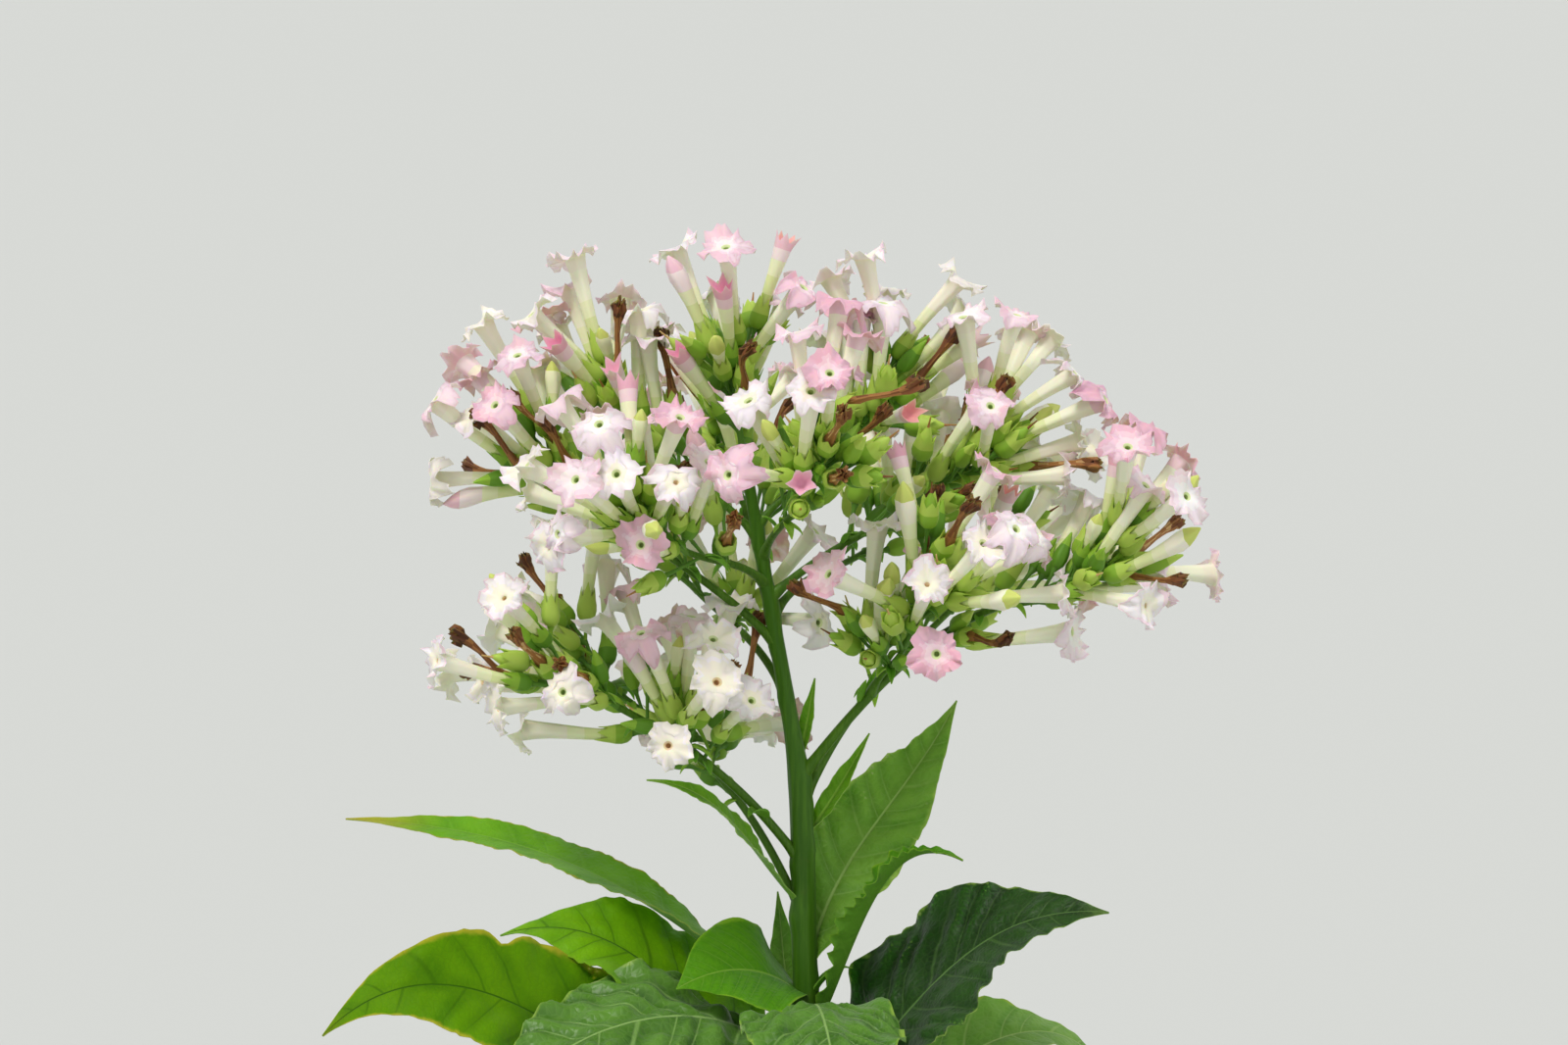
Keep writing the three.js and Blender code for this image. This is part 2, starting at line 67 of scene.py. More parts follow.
# Boughs: name, height of the root, heading, reach, rise, steepness at root and tip, radius at both.
BOUGH_ROWS = (
    ("left_low", 958, 196, 86, 77, 54, 30, 2.2, 1.6),
    ("left_low_back", 932, 162, 74, 90, 66, 32, 2.0, 1.5),
    ("right_low", 997, 348, 106, 88, 52, 18, 2.4, 1.6),
    ("right_low_back", 984, 44, 98, 80, 58, 30, 2.2, 1.5),
    ("back_low", 1034, 124, 76, 40, 50, 24, 2.0, 1.5),
    ("left_high", 1059, 184, 76, 60, 46, 36, 2.0, 1.5),
    ("back_left", 1074, 100, 78, 40, 48, 30, 2.0, 1.5),
    ("right_high", 1080, 4, 68, 44, 42, 32, 2.0, 1.5),
    ("left_front", 1086, 228, 54, 22, 40, 24, 1.9, 1.4),
    ("back_right", 1072, 50, 78, 26, 42, 26, 1.9, 1.4),
    ("front", 1098, 290, 46, 30, 50, 34, 1.8, 1.4),
    ("left_top", 1106, 168, 42, 34, 54, 38, 1.8, 1.4),
    ("right_top", 1112, 14, 36, 30, 56, 40, 1.7, 1.3),
)
CARRIER_BOUGH = "right_low"
INNER_BOUGH = ("right_inner", 0.36, 300, 30, 28, 60, 56, 1.6, 1.3)
BOUGH_STEPS = 6
BOUGH_COLUMNS = 14
BOUGH_ROWS_FINE = 44

# Leaves: name, height of the root, heading, reach, rise, steepness at root and tip, width, roll,
# fold, wave, and then the looks: finish, twist, puff between the veins, crinkle, ruffle of the edge.
LEAF_ROWS = (
    ("leaf_upright_right", 906, 48, 106, 113, 74, 50, 46, -32, 12, 1.5, "fresh", 6, 2.0, 1.3, 1.6),
    ("leaf_curled_right", 875, 336, 76, 92, 60, -22, 22, -10, 38, 2, "smooth", 0, 0.5, 0.7, 2.0),
    ("leaf_broad_right", 837, 346, 138, 107, 47, -2, 86, -34, 10, 4, "dark", 8, 2.4, 1.3, 1.0),
    ("leaf_pale_right", 796, 20, 142, 59, 52, -50, 64, -21, 8, 4, "pale", 0, 1.0, 1.0, 1.0),
    ("leaf_back", 791, 92, 160, 29, 58, -52, 80, 0, -6, 4, "dark", 4, 2.0, 1.2, 1.0),
    ("leaf_front", 880, 277, 124, -24, 60, -66, 72, -1, -8, 3.5, "grey", 0, 2.8, 2.2, 2.0),
    ("leaf_small_left", 896, 208, 66, 12, 46, -24, 58, 34, 8, 1, "smooth", 0, 0.5, 0.4, 0.3),
    ("leaf_crinkled_left", 855, 214, 172, 7, 60, -50, 84, 23, -6, 5, "grey", 0, 4.2, 3.6, 1.2),
    ("leaf_yellow_left", 766, 194, 224, 127, 50, -44, 85, 42, 8, 4, "yellow", 5, 0.8, 1.0, 1.0),
    ("leaf_lobed_left", 815, 172, 143, 106, 56, -20, 74, 25, 8, 5, "glowing", 4, 1.0, 1.4, 1.2),
    ("leaf_long_left", 879, 156, 238, 80, 42, -3, 36, 5, 12, 1.5, "tipped", 30, 0.6, 0.8, 0.3),
    ("leaf_upright_left", 853, 114, 34, 86, 56, 80, 21, 7, 20, 1, "fresh", 0, 0.5, 0.5, 0.8),
    ("bract_left", 938, 206, 78, 66, 46, 8, 15, 30, 14, 1, "spring", 10, 0.3, 0.4, 0.4),
    ("bract_right_back", 1003, 60, 16, 38, 62, 70, 7, 0, 20, 0.4, "spring", 0, 0.1, 0.1, 0.2),
    ("bract_right_broad", 968, 22, 33, 48, 52, 60, 10, -30, 20, 0.5, "spring", 0, 0.2, 0.2, 0.3),
)
LEAF_KEYS = (
    "name", "from", "heading", "reach", "rise", "root", "end", "width", "roll", "fold", "wave",
    "finish", "twist", "puff", "crinkle", "ruffle",
)
# Large leaves lower down follow one spiral. Each has the same slopes at root and tip, roll to one side
# or the other, fold and wave, and the same twist, puff, crinkle and ruffle.
LOWER_LEAF_COUNT = 10
LOWEST_LEAF = 270
LEAF_SPACING = 52
SPIRAL_ANGLE = 137.5
SPIRAL_START = 30
LOWER_DROP = 0.12
LOWER_LEAF = (56, -58, 6, -6, 6)
LOWEST_LEAF_REACH = 370
REACH_LOSS = 17
WIDTH_SHARE = 0.48
LOWER_LOOKS = (0, 2.8, 2.0, 2.0)
LOWER_FINISHES = ("yellow", "grey", "dark", "smooth", "grey", "dark", "grey", "dark", "grey", "dark")

WAVES_PER_LEAF = 3
WAVE_SHIFT = 2
ROLL_SETTLES_AT = 1 / 3
WIDEST_EARLY = 0.86
BLADE_POINT = 1.2
FOOT_WING = 0.13
THINNEST_FOOT = 0.02
PULL_SHARE = 1 / 2.6
LEAF_STEPS = 8
# Fine blades: thickness, length of a step along, width of a column, veins per blade and the way
# that they lean and curve towards the tip.
BLADE_THICKNESS = 0.55
ALONG_STEP = 1.9
COLUMN_WIDTH = 2.1
LARGE_BLADE = 260
LARGE_BLADE_COARSER = 1.6
VEINS_PER_BLADE = 11
VEIN_LEAN = 0.62
VEIN_CURVE = 0.28
# One leaf has a notch in its edge: share along it, width and depth, both as shares.
NOTCHED_LEAF = "leaf_yellow_left"
NOTCH_AT, NOTCH_WIDTH, NOTCH_DEPTH = 0.66, 0.018, 0.22
# A twist turns the blade back below this share of its length and on above it. Ruffles along the
# edge are a share of the blade's width long, within limits.
TWIST_MIDDLE = 0.55
RUFFLE_SHARE = 1 / 5
RUFFLE_LENGTHS = (7.5, 14)

# Flower heads, by the same rule as the solids.
HEAD_NODES = 4
HEAD_STEP = 11
STEP_LOSS = 0.9
ZIGZAG = 0.24
LIFT = 0.1
TWIG_RADII = (1.5, 0.9)
SIDE_TWIGS = 3
SIDE_TWIG_LENGTH = 18
SIDE_TWIG_RADIUS = 0.8
TWIG_OPENING = 48
FLOWER_OPENING = 52
CLOSING_PER_NODE = 6
# Flowers of a side twig: share along it, opening, turn round it, and by how many nodes it is younger.
# Flowers at the end of the head: opening and turn.
SIDE_FLOWERS = ((1, 12, 0, 1), (1, 44, 180, 1), (0.6, 52, 90, 0))
END_FLOWERS = ((8, 0), (40, 240))
OPENING_SPREAD = 16
TURN_ON_RETRY = 70
FAN_OUT = 0.55
FLOWER_LIFT = 0.25
LOWEST_SLOPE = 0.05
PANICLE_HEART = np.array([-10.0, 0.0, 1050.0])
HEAD_SPACE = 104
CLEARANCE = 0.5
CROWDING = 0.6
TRIES = 5
MOST_FLOWERS = 9
HEAD_SEED = 4100
# Stages of the first flowers, on the oldest nodes and above them, with the chance up to which each
# is taken.
OLDEST_NODES = 2
NODE_STAGES = (
    (("withered", 0.4), ("bud", 0.5), ("opening", 0.64), ("open", 1.0)),
    (("withered", 0.12), ("bud", 0.36), ("opening", 0.5), ("open", 1.0)),
)
# Measures of a flower's room, where side twigs begin to take up room, and the gap at a head's foot.
STALK = 8
CALYX_END = STALK + 15
CALYX_RADIUS = 4.8
TUBE_RADIUS = 4.4
MOUTH_DEPTH = 3
TWIG_CLEAR_FROM = 4
GAP = 0.3
# Reach and radius of the mouth for each stage of a flower. Seed cases come with the finer growth.
STAGES = {
    "open": (STALK + 47, 10.8),
    "opening": (STALK + 48, 4.2),
    "bud": (STALK + 29, 3.6),
    "withered": (STALK + 42, 4.4),
    "case": (STALK + 20, 4.4),
}
# The finer growth: flowers on each head in all, how many places are tried, how wide they open, how far
# they turn outward, how close they come (as crowding and clearance), on which part of a stretch they
# stand, and the chance up to which each stage is taken.
FULL_HEAD = 27
FINE_TRIES = 420
FINE_OPENING = (12, 74)
FINE_FAN_OUT = (0.15, 0.85)
FINE_CLOSENESS = (0.5, 0.4)
FINE_STRETCH = (0.25, 1)
FINE_STAGES = (("open", 0.56), ("opening", 0.65), ("bud", 0.76), ("withered", 0.85), ("case", 1.0))
FINE_SEED = 9200
# Growth along the boughs: how many tries, how many pieces each bears, on which part, how wide they
# open, how much they lift, how long their twigs are, and the chance up to which each stage is taken.
DRESS_TRIES = 60
DRESS_MOST = 6
DRESS_PART = (0.5, 1.0)
DRESS_OPENING = (25, 75)
DRESS_LIFT = 0.6
DRESS_TWIG = (4, 14)
DRESS_STAGES = (("open", 0.16), ("opening", 0.22), ("bud", 0.44), ("withered", 0.6), ("case", 1.0))
DRESS_SEED = 9300
# Flowers that stand alone: bough, share along it, heading and steepness, twig length, stage. They stand
# where they are put, however close their neighbours come.
LONE_FLOWERS = (
    ("left_low", 0.7, 290, 56, 14, "open"),
    ("left_low", 0.74, 284, 32, 14, "open"),
    ("left_low", 0.6, 20, 60, 16, "withered"),
    ("left_low_back", 0.82, 321, 69, 14, "open"),
    ("left_low_back", 0.7, 60, 50, 12, "case"),
    ("right_inner", 0.5, 200, 48, 12, "withered"),
    ("right_low", 0.66, 300, 4, 8, "withered"),
    ("back_low", 0.6, 300, 62, 6, "opening"),
)
LONE_CLOSENESS = (0.0, -9.0)


def unit(vectors):
    """Each vector divided by its length."""
    return vectors / np.linalg.norm(vectors, axis=-1, keepdims=True)


def mix(a, b, share):
    """a at share 0, b at share 1, and straight between them."""
    return a + (b - a) * share


def hump(distance, width):
    """A smooth hump: exp(-(distance / width)^2)."""
    return np.exp(-((distance / width) ** 2))


def around(columns):
    """The angle of each column."""
    return 2 * np.pi * np.arange(columns) / columns


def by_chance(chance, limits):
    """The first name whose limit reaches up to the chance."""
    return next(name for name, limit in limits if chance <= limit)


def seeded(seed):
    """Random numbers from 0 to 1: state times 16807 modulo 2147483647, over the modulus."""
    state = [seed]

    def draw():
        state[0] = state[0] * 16807 % 2147483647
        return (state[0] - 1) / 2147483646

    return draw


def outward(heading, steepness):
    """The direction with a heading round the stem and a steepness above level, in degrees."""
    turn, tilt = math.radians(heading), math.radians(steepness)
    flat = math.cos(tilt)
    return np.array([flat * math.cos(turn), flat * math.sin(turn), math.sin(tilt)])


def stem_point(height):
    """The stem's middle line: a sine bow below the fork, and a soft hinge to a straight lean."""
    height = np.asarray(height, float)
    past = height - FORK_HEIGHT
    hinge = (past + np.hypot(past, FORK_SOFTNESS)) / 2
    share = np.minimum(height / FORK_HEIGHT, 1)
    right = BOW_RIGHT * np.sin(np.pi * share) - LEAN_ABOVE_FORK * hinge
    return np.stack([right, BOW_AWAY * np.sin(2 * np.pi * share), height], -1)


def stem_radius(height):
    """The stem's radius, straight between the heights of its taper."""
    return np.interp(height, STEM_TAPER[:, 0], STEM_TAPER[:, 1])


def growth_line(root, heading, reach, rise, root_steep, end_steep):
    """The four points of a cubic curve that leaves its root and reaches its tip at two slopes."""
    tip = root + outward(heading, 0) * reach + UP * rise
    pull = np.linalg.norm(tip - root) * PULL_SHARE
    leave = root + outward(heading, root_steep) * pull
    return np.array([root, leave, tip - outward(heading, end_steep) * pull, tip])


def curve_points(line, share):
    """The points of a cubic curve: the four points weighed by its Bernstein shares."""
    t = np.asarray(share, float)[..., None]
    s = 1 - t
    return s**3 * line[0] + 3 * s * s * t * line[1] + 3 * s * t * t * line[2] + t**3 * line[3]


def curve_slopes(line, share):
    """The directions of a cubic curve, each of length one."""
    t = np.asarray(share, float)[..., None]
    s = 1 - t
    return unit(s * s * (line[1] - line[0]) + 2 * s * t * (line[2] - line[1]) + t * t * (line[3] - line[2]))


def square_to(direction):
    """Two directions square to a direction: side is helper x direction, and up direction x side."""
    helper = ACROSS_X if abs(direction[2]) > NEARLY_UPRIGHT else UP
    side = unit(np.cross(helper, direction))
    return side, np.cross(direction, side)


def opened_from(axis, opening, turn):
    """A direction that opens from an axis by an angle, turned round it by another, in degrees."""
    side, up = square_to(axis)
    wide, round_it = math.radians(opening), math.radians(turn)
    sideways = side * math.cos(round_it) + up * math.sin(round_it)
    return axis * math.cos(wide) + sideways * math.sin(wide)


class Room:
    """What is already taken, as straight lines with a radius and an owner."""

    def __init__(self):
        self.start = np.zeros((0, 3))
        self.end = np.zeros((0, 3))
        self.radius = np.zeros(0)
        self.owner = np.zeros(0, int)

    def take(self, start, end, radius, owner):
        """Adds lines to what is taken."""
        self.start = np.concatenate([self.start, start])
        self.end = np.concatenate([self.end, end])
        self.radius = np.concatenate([self.radius, radius])
        self.owner = np.concatenate([self.owner, np.full(len(radius), owner)])

    def take_path(self, points, radii, owner):
        """Adds the stretches of a path, each with the larger radius of its two ends."""
        self.take(points[:-1], points[1:], np.maximum(radii[:-1], radii[1:]), owner)

    def clear(self, start, end, radius, owner, crowding=CROWDING, clearance=CLEARANCE):
        """Whether lines keep clear of all: their least distance is over the radii and a clearance, and
        of their own head's lines over a share of the radii."""
        gap = line_gaps(start[:, None], end[:, None], self.start[None], self.end[None])
        both = radius[:, None] + self.radius[None]
        room = np.where(self.owner[None] == owner, both * crowding, both + clearance)
        return bool((gap > room).all())


def line_gaps(a_start, a_end, b_start, b_end):
    """The least distance between straight lines: the closest pair of places, held to their ends."""
    along, across, between = a_end - a_start, b_end - b_start, a_start - b_start
    aa, bb = (along * along).sum(-1), (across * across).sum(-1)
    ab, ar, br = (along * across).sum(-1), (along * between).sum(-1), (across * between).sum(-1)
    spread = aa * bb - ab * ab
    fair = spread > PARALLEL
    s = np.where(fair, np.clip((ab * br - ar * bb) / np.where(fair, spread, 1), 0, 1), 0)
    t = (ab * s + br) / bb
    past = (t < 0) | (t > 1)
    t = np.clip(t, 0, 1)
    s = np.where(past, np.clip((ab * t - ar) / aa, 0, 1), s)
    return np.linalg.norm(between + along * s[..., None] - across * t[..., None], axis=-1)


# Limbs that carry the heads. The stem's lowest rings are at the ground and above its flare.
room = Room()
STEM_OWNER, LIMB_OWNER, LEAF_OWNER = 1, 2, 3
rough_heights = np.concatenate([[0.0], np.linspace(STEM_TAPER[1, 0], STEM_HEIGHT, STEM_STEPS)])
room.take_path(stem_point(rough_heights), stem_radius(rough_heights), STEM_OWNER)

boughs = []
heads = []


def grow_bough(name, root, heading, reach, rise, root_steep, end_steep, root_radius, tip_radius):
    """One tapering limb on its growth line, and the head that goes on from its tip."""
    line = growth_line(root, heading, reach, rise, root_steep, end_steep)
    shares = np.linspace(0, 1, BOUGH_STEPS + 1)
    points = curve_points(line, shares)
    room.take_path(points, mix(root_radius, tip_radius, shares), LIMB_OWNER)
    boughs.append((name, line, heading, root_radius, tip_radius))
    heads.append((name, points[-1], outward(heading, end_steep)))
    return line


for bough_name, bough_from, *bough_sizes in BOUGH_ROWS:
    bough_line = grow_bough(bough_name, stem_point(bough_from), *bough_sizes)
    if bough_name == CARRIER_BOUGH:
        inner_name, inner_share, *inner_sizes = INNER_BOUGH
        grow_bough(inner_name, curve_points(bough_line, inner_share), *inner_sizes)
heads.append(("crown", stem_point(STEM_HEIGHT), unit(np.array([-LEAN_ABOVE_FORK, 0.0, 1.0]))))

leaves = [dict(zip(LEAF_KEYS, row)) for row in LEAF_ROWS]
upper_leaf_count = len(leaves)
for count in range(LOWER_LEAF_COUNT):
    leaf_reach = LOWEST_LEAF_REACH - REACH_LOSS * count
    root_steep, end_steep, roll, fold, wave = LOWER_LEAF
    leaves.append(dict(zip(LEAF_KEYS, (
        f"leaf_lower_{count + 1}", LOWEST_LEAF + LEAF_SPACING * count,
        SPIRAL_START + SPIRAL_ANGLE * count, leaf_reach, -LOWER_DROP * leaf_reach, root_steep,
        end_steep, WIDTH_SHARE * leaf_reach, roll if count % 2 == 0 else -roll, fold, wave,
        LOWER_FINISHES[count], *LOWER_LOOKS,
    ))))


def leaf_line(leaf):
    """The middle line of a leaf, from the stem's middle to the leaf's tip."""
    return growth_line(
        stem_point(leaf["from"]), leaf["heading"], leaf["reach"], leaf["rise"], leaf["root"], leaf["end"],
    )


def half_width(leaf, share):
    """Half a blade's width: a sine of the share to a power, pointed, with a winged foot."""
    blade = np.maximum(np.sin(np.pi * share**WIDEST_EARLY), 0) ** BLADE_POINT
    return (blade**3 + (FOOT_WING * (1 - share)) ** 3) ** (1 / 3) * leaf["width"] / 2


for leaf_number, leaf in enumerate(leaves[:upper_leaf_count]):
    leaf_shares = np.linspace(0, 1, LEAF_STEPS + 1)
    blade = np.maximum(np.sin(np.pi * leaf_shares**WIDEST_EARLY), 0) ** BLADE_POINT
    foot = np.maximum(FOOT_WING * (1 - leaf_shares), THINNEST_FOOT)
    leaf_radii = np.maximum(blade, foot) * leaf["width"] / 2
    room.take_path(curve_points(leaf_line(leaf), leaf_shares), leaf_radii, LEAF_OWNER + leaf_number)


def away_from_heart(point):
    """The direction from the panicle's heart to a point."""
    return unit(point - PANICLE_HEART)


def fanned(direction, point, share):
    """A direction leant away from the heart and upward, and held from hanging."""
    leant = direction + away_from_heart(point) * share + UP * FLOWER_LIFT
    leant[2] = max(leant[2], LOWEST_SLOPE)
    return unit(leant)


def flower_room(point, direction, stage):
    """The lines that a flower takes up: calyx, tube and mouth, with their radii."""
    reach, mouth = STAGES[stage]
    start = point + direction * np.array([[STALK], [CALYX_END], [reach - MOUTH_DEPTH]])
    end = point + direction * np.array([[CALYX_END], [reach], [reach]])
    return start, end, np.array([CALYX_RADIUS, TUBE_RADIUS, mouth], float)


def settle(grown, point, direction, stage, *closeness):
    """Adds a flower to a head and takes up its room, if the room is clear, and says whether it was."""
    lines = flower_room(point, direction, stage)
    clear = room.clear(*lines, grown["owner"], *closeness)
    if clear:
        room.take(*lines, grown["owner"])
        grown["flowers"].append((point, direction, stage))
    return clear


def reaches_inside(grown, point, direction, stage):
    """Whether a flower's mouth stays within its head's space round the head's foot."""
    return np.linalg.norm(point + direction * STAGES[stage][0] - grown["foot"]) < HEAD_SPACE


def grow_head(head, owner, seed):
    """One head: a zigzag stem whose nodes bear side twigs and flowers in turn, by a seeded rule."""
    draw = seeded(seed)
    _, foot, forward = head
    grown = {"foot": foot, "owner": owner, "flowers": []}

    def try_flower(point, axis, opening, turn, node):
        stage = by_chance(draw(), NODE_STAGES[0 if node < OLDEST_NODES else 1])
        for attempt in range(TRIES):
            wide = opening + OPENING_SPREAD * (draw() - 0.5)
            direction = opened_from(axis, wide, turn + TURN_ON_RETRY * attempt * draw())
            direction = fanned(direction, point, FAN_OUT)
            wanted = len(grown["flowers"]) < MOST_FLOWERS and reaches_inside(grown, point, direction, stage)
            if wanted and settle(grown, point, direction, stage):
                return

    phase = 360 * draw()
    sway, _ = square_to(forward)
    points = [foot + forward * GAP]
    ways = []
    for node in range(HEAD_NODES):
        way = unit(forward + sway * (ZIGZAG if node % 2 == 0 else -ZIGZAG) + UP * LIFT)
        points.append(points[node] + way * HEAD_STEP * STEP_LOSS**node)
        ways.append(way)
    points = np.array(points)
    room.take_path(points, np.zeros(len(points)), owner)
    twigs = grown["twigs"] = [(points, TWIG_RADII)]

    for node, way in enumerate(ways):
        place = points[node + 1]
        turn = phase + SPIRAL_ANGLE * node
        if node < SIDE_TWIGS:
            side = opened_from(way, TWIG_OPENING, turn + 180)
            side = unit(side + away_from_heart(place) * FAN_OUT / 2)
            start = (place + side * TWIG_CLEAR_FROM)[None]
            end = (place + side * SIDE_TWIG_LENGTH)[None]
            if room.clear(start, end, np.array([SIDE_TWIG_RADIUS]), owner):
                room.take(start, end, np.zeros(1), owner)
                twigs.append((np.array([place, end[0]]), (SIDE_TWIG_RADIUS, SIDE_TWIG_RADIUS)))
                for share, opening, side_turn, younger in SIDE_FLOWERS:
                    bearing = place + side * SIDE_TWIG_LENGTH * share
                    try_flower(bearing, side, opening, turn + side_turn, node + younger)
        try_flower(place, way, FLOWER_OPENING - CLOSING_PER_NODE * node, turn, node)
    for opening, turn in END_FLOWERS:
        try_flower(points[-1], ways[-1], opening, phase + turn, HEAD_NODES)
    return grown


def fill_head(grown, seed):
    """Finer growth on a head: more flowers, buds and seed cases on the same twigs, where room is left."""
    draw = seeded(seed)
    for _ in range(FINE_TRIES):
        if len(grown["flowers"]) >= FULL_HEAD:
            return
        points, _ = grown["twigs"][int(draw() * len(grown["twigs"]))]
        stretch = int(draw() * (len(points) - 1))
        share = draw()
        point = mix(points[stretch], points[stretch + 1], mix(*FINE_STRETCH, share))
        axis = unit(points[stretch + 1] - points[stretch])
        direction = opened_from(axis, mix(*FINE_OPENING, draw()), 360 * draw())
        direction = fanned(direction, point, mix(*FINE_FAN_OUT, draw()))
        stage = by_chance(draw(), FINE_STAGES)
        if reaches_inside(grown, point, direction, stage):
            settle(grown, point, direction, stage, *FINE_CLOSENESS)


def bear(grown, point, direction, twig, stage, closeness):
    """A twig from a limb with one flower at its end, if there is room for the flower."""
    foot = point + direction * twig
    borne = settle(grown, foot, direction, stage, *closeness)
    if borne:
        grown["twigs"].append((np.array([point, foot]), (SIDE_TWIG_RADIUS, SIDE_TWIG_RADIUS)))
    return borne


def dress_bough(line, grown, seed):
    """Finer growth along the outer part of a bough: flowers, buds and seed cases that stand up from it."""
    draw = seeded(seed)
    borne = 0
    for _ in range(DRESS_TRIES):
        share = mix(*DRESS_PART, draw())
        direction = opened_from(curve_slopes(line, share), mix(*DRESS_OPENING, draw()), 360 * draw())
        direction = unit(direction + UP * DRESS_LIFT)
        twig = mix(*DRESS_TWIG, draw())
        stage = by_chance(draw(), DRESS_STAGES)
        if borne < DRESS_MOST:
            point = curve_points(line, share)
            borne += bear(grown, point, direction, twig, stage, FINE_CLOSENESS)


FIRST_HEAD_OWNER = 100
grown_heads = [
    grow_head(head, FIRST_HEAD_OWNER + number, HEAD_SEED + number) for number, head in enumerate(heads)
]
head_by_name = {head[0]: grown for head, grown in zip(heads, grown_heads)}
line_by_name = {bough[0]: bough[1] for bough in boughs}
for bough_name, share, heading, steepness, twig, stage in LONE_FLOWERS:
    place = curve_points(line_by_name[bough_name], share)
    way = outward(heading, steepness)
    bear(head_by_name[bough_name], place, way, twig, stage, LONE_CLOSENESS)
for number, grown in enumerate(grown_heads):
    fill_head(grown, FINE_SEED + number)
for number, bough in enumerate(boughs):
    dress_bough(bough[1], head_by_name[bough[0]], DRESS_SEED + number)


# Surfaces. A shape is its points, its faces of four points, and the tone of each face.
def skin(rings, tones=0):
    """Faces between neighbouring rings of a grid, and strips of faces across both end rings."""
    rows, columns = rings.shape[:2]
    index = np.arange(rows * columns).reshape(rows, columns)
    onward = np.roll(index, -1, axis=1)
    walls = np.stack([index[:-1], onward[:-1], onward[1:], index[1:]], -1)
    step = np.arange(columns // 2 - 1)
    strip = np.stack([step, step + 1, columns - 2 - step, columns - 1 - step], -1)
    quads = np.concatenate([walls.reshape(-1, 4), strip[:, ::-1], strip + (rows - 1) * columns])
    tones = np.broadcast_to(tones, (rows - 1, columns))
    closing = len(strip)
    faces = np.concatenate([tones.ravel(), np.full(closing, tones[0, 0]), np.full(closing, tones[-1, 0])])
    return rings.reshape(-1, 3), quads, faces


def joined(shapes):
    """One shape of several: points and faces one after another, the faces counted on."""
    starts = np.cumsum([0] + [len(shape[0]) for shape in shapes[:-1]])
    return (
        np.concatenate([shape[0] for shape in shapes]),
        np.concatenate([shape[1] + start for shape, start in zip(shapes, starts)]),
        np.concatenate([shape[2] for shape in shapes]),
    )


def tube_rings(path, radius, reference, columns):
    """Rings square to a path: path + radius * (side * cos + up * sin), with side square to the reference."""
    slope = unit(np.gradient(path, axis=0))
    side = unit(np.cross(reference, slope))
    up = np.cross(slope, side)
    turn = around(columns)
    radius = np.broadcast_to(np.asarray(radius, float).reshape(len(path), -1), (len(path), columns))
    round_it = side[:, None] * np.cos(turn)[:, None] + up[:, None] * np.sin(turn)[:, None]
    return path[:, None] + radius[..., None] * round_it


def turned(height, radius):
    """Rings round +Z: a point is (radius * cos a, radius * sin a, height) at its column's angle a."""
    radius = np.atleast_2d(radius)
    height = np.broadcast_to(height, radius.shape)
    turn = around(radius.shape[1])
    return np.stack([radius * np.cos(turn), radius * np.sin(turn), height], -1)


def planted(shape, points, directions, turns, sizes, tone_rows):
    """Copies of a shape that grows along +Z: each is sized, turned, laid along its direction and
    moved to its point, and its faces' tones are read from its own row of tones."""
    local, quads, tones = shape
    frames = []
    for direction, turn in zip(directions, turns):
        side, up = square_to(direction)
        first = side * math.cos(turn) + up * math.sin(turn)
        frames.append(np.stack([first, np.cross(direction, first), direction], 1))
    placed = np.einsum("kij,nj->kni", np.array(frames), local) * np.asarray(sizes)[:, None, None]
    placed += np.asarray(points)[:, None]
    starts = np.arange(len(frames))[:, None, None] * len(local)
    return (
        placed.reshape(-1, 3), (quads[None] + starts).reshape(-1, 4),
        np.asarray(tone_rows)[:, tones].ravel(),
    )


CREASE, PETAL_CREASE = 50, 75


def put_in_scene(name, data):
    """A new object in the scene, made of a mesh, a light or a camera."""
    made = bpy.data.objects.new(name, data)
    bpy.context.scene.collection.objects.link(made)
    return made


def make_piece(name, shape, finishes, nodes, marks=None, crease=CREASE):
    """A mesh from arrays, with its finishes, that rides with the plant and stands for its nodes. Faces
    that meet at more than the crease's angle keep a sharp edge."""
    points, quads, tones = shape
    mesh = bpy.data.meshes.new(name)
    mesh.vertices.add(len(points))
    mesh.vertices.foreach_set("co", (points * MM).astype(np.float32).ravel())
    mesh.loops.add(quads.size)
    mesh.loops.foreach_set("vertex_index", quads.astype(np.int32).ravel())
    mesh.polygons.add(len(quads))
    mesh.polygons.foreach_set("loop_start", np.arange(0, quads.size, 4, dtype=np.int32))
    for finish in finishes:
        mesh.materials.append(finish)
    mesh.polygons.foreach_set("material_index", tones.astype(np.int32))
    for mark, values in (marks or {}).items():
        layer = mesh.attributes.new(mark, "FLOAT_VECTOR", "POINT")
        layer.data.foreach_set("vector", values.astype(np.float32).ravel())
    mesh.update(calc_edges=True)
    mesh.validate()
    mesh.shade_smooth()
    mesh.set_sharp_from_angle(angle=math.radians(crease))
    piece = put_in_scene(name, mesh)
    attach(piece, "root")
    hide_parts(*nodes)
    return piece


# Finishes.
def colour(red, green, blue):
    """A colour from the 0 to 255 values that a screen shows, as linear light, by the screen's curve."""
    shown = np.array([red, green, blue]) / 255
    linear = np.where(shown <= 0.04045, shown / 12.92, ((shown + 0.055) / 1.055) ** 2.4)
    return (*linear.tolist(), 1.0)


# How far each part of the light goes inside a leaf, of the glow's size: red, green and blue.
GLOW_REACH = (0.6, 1.0, 0.35)


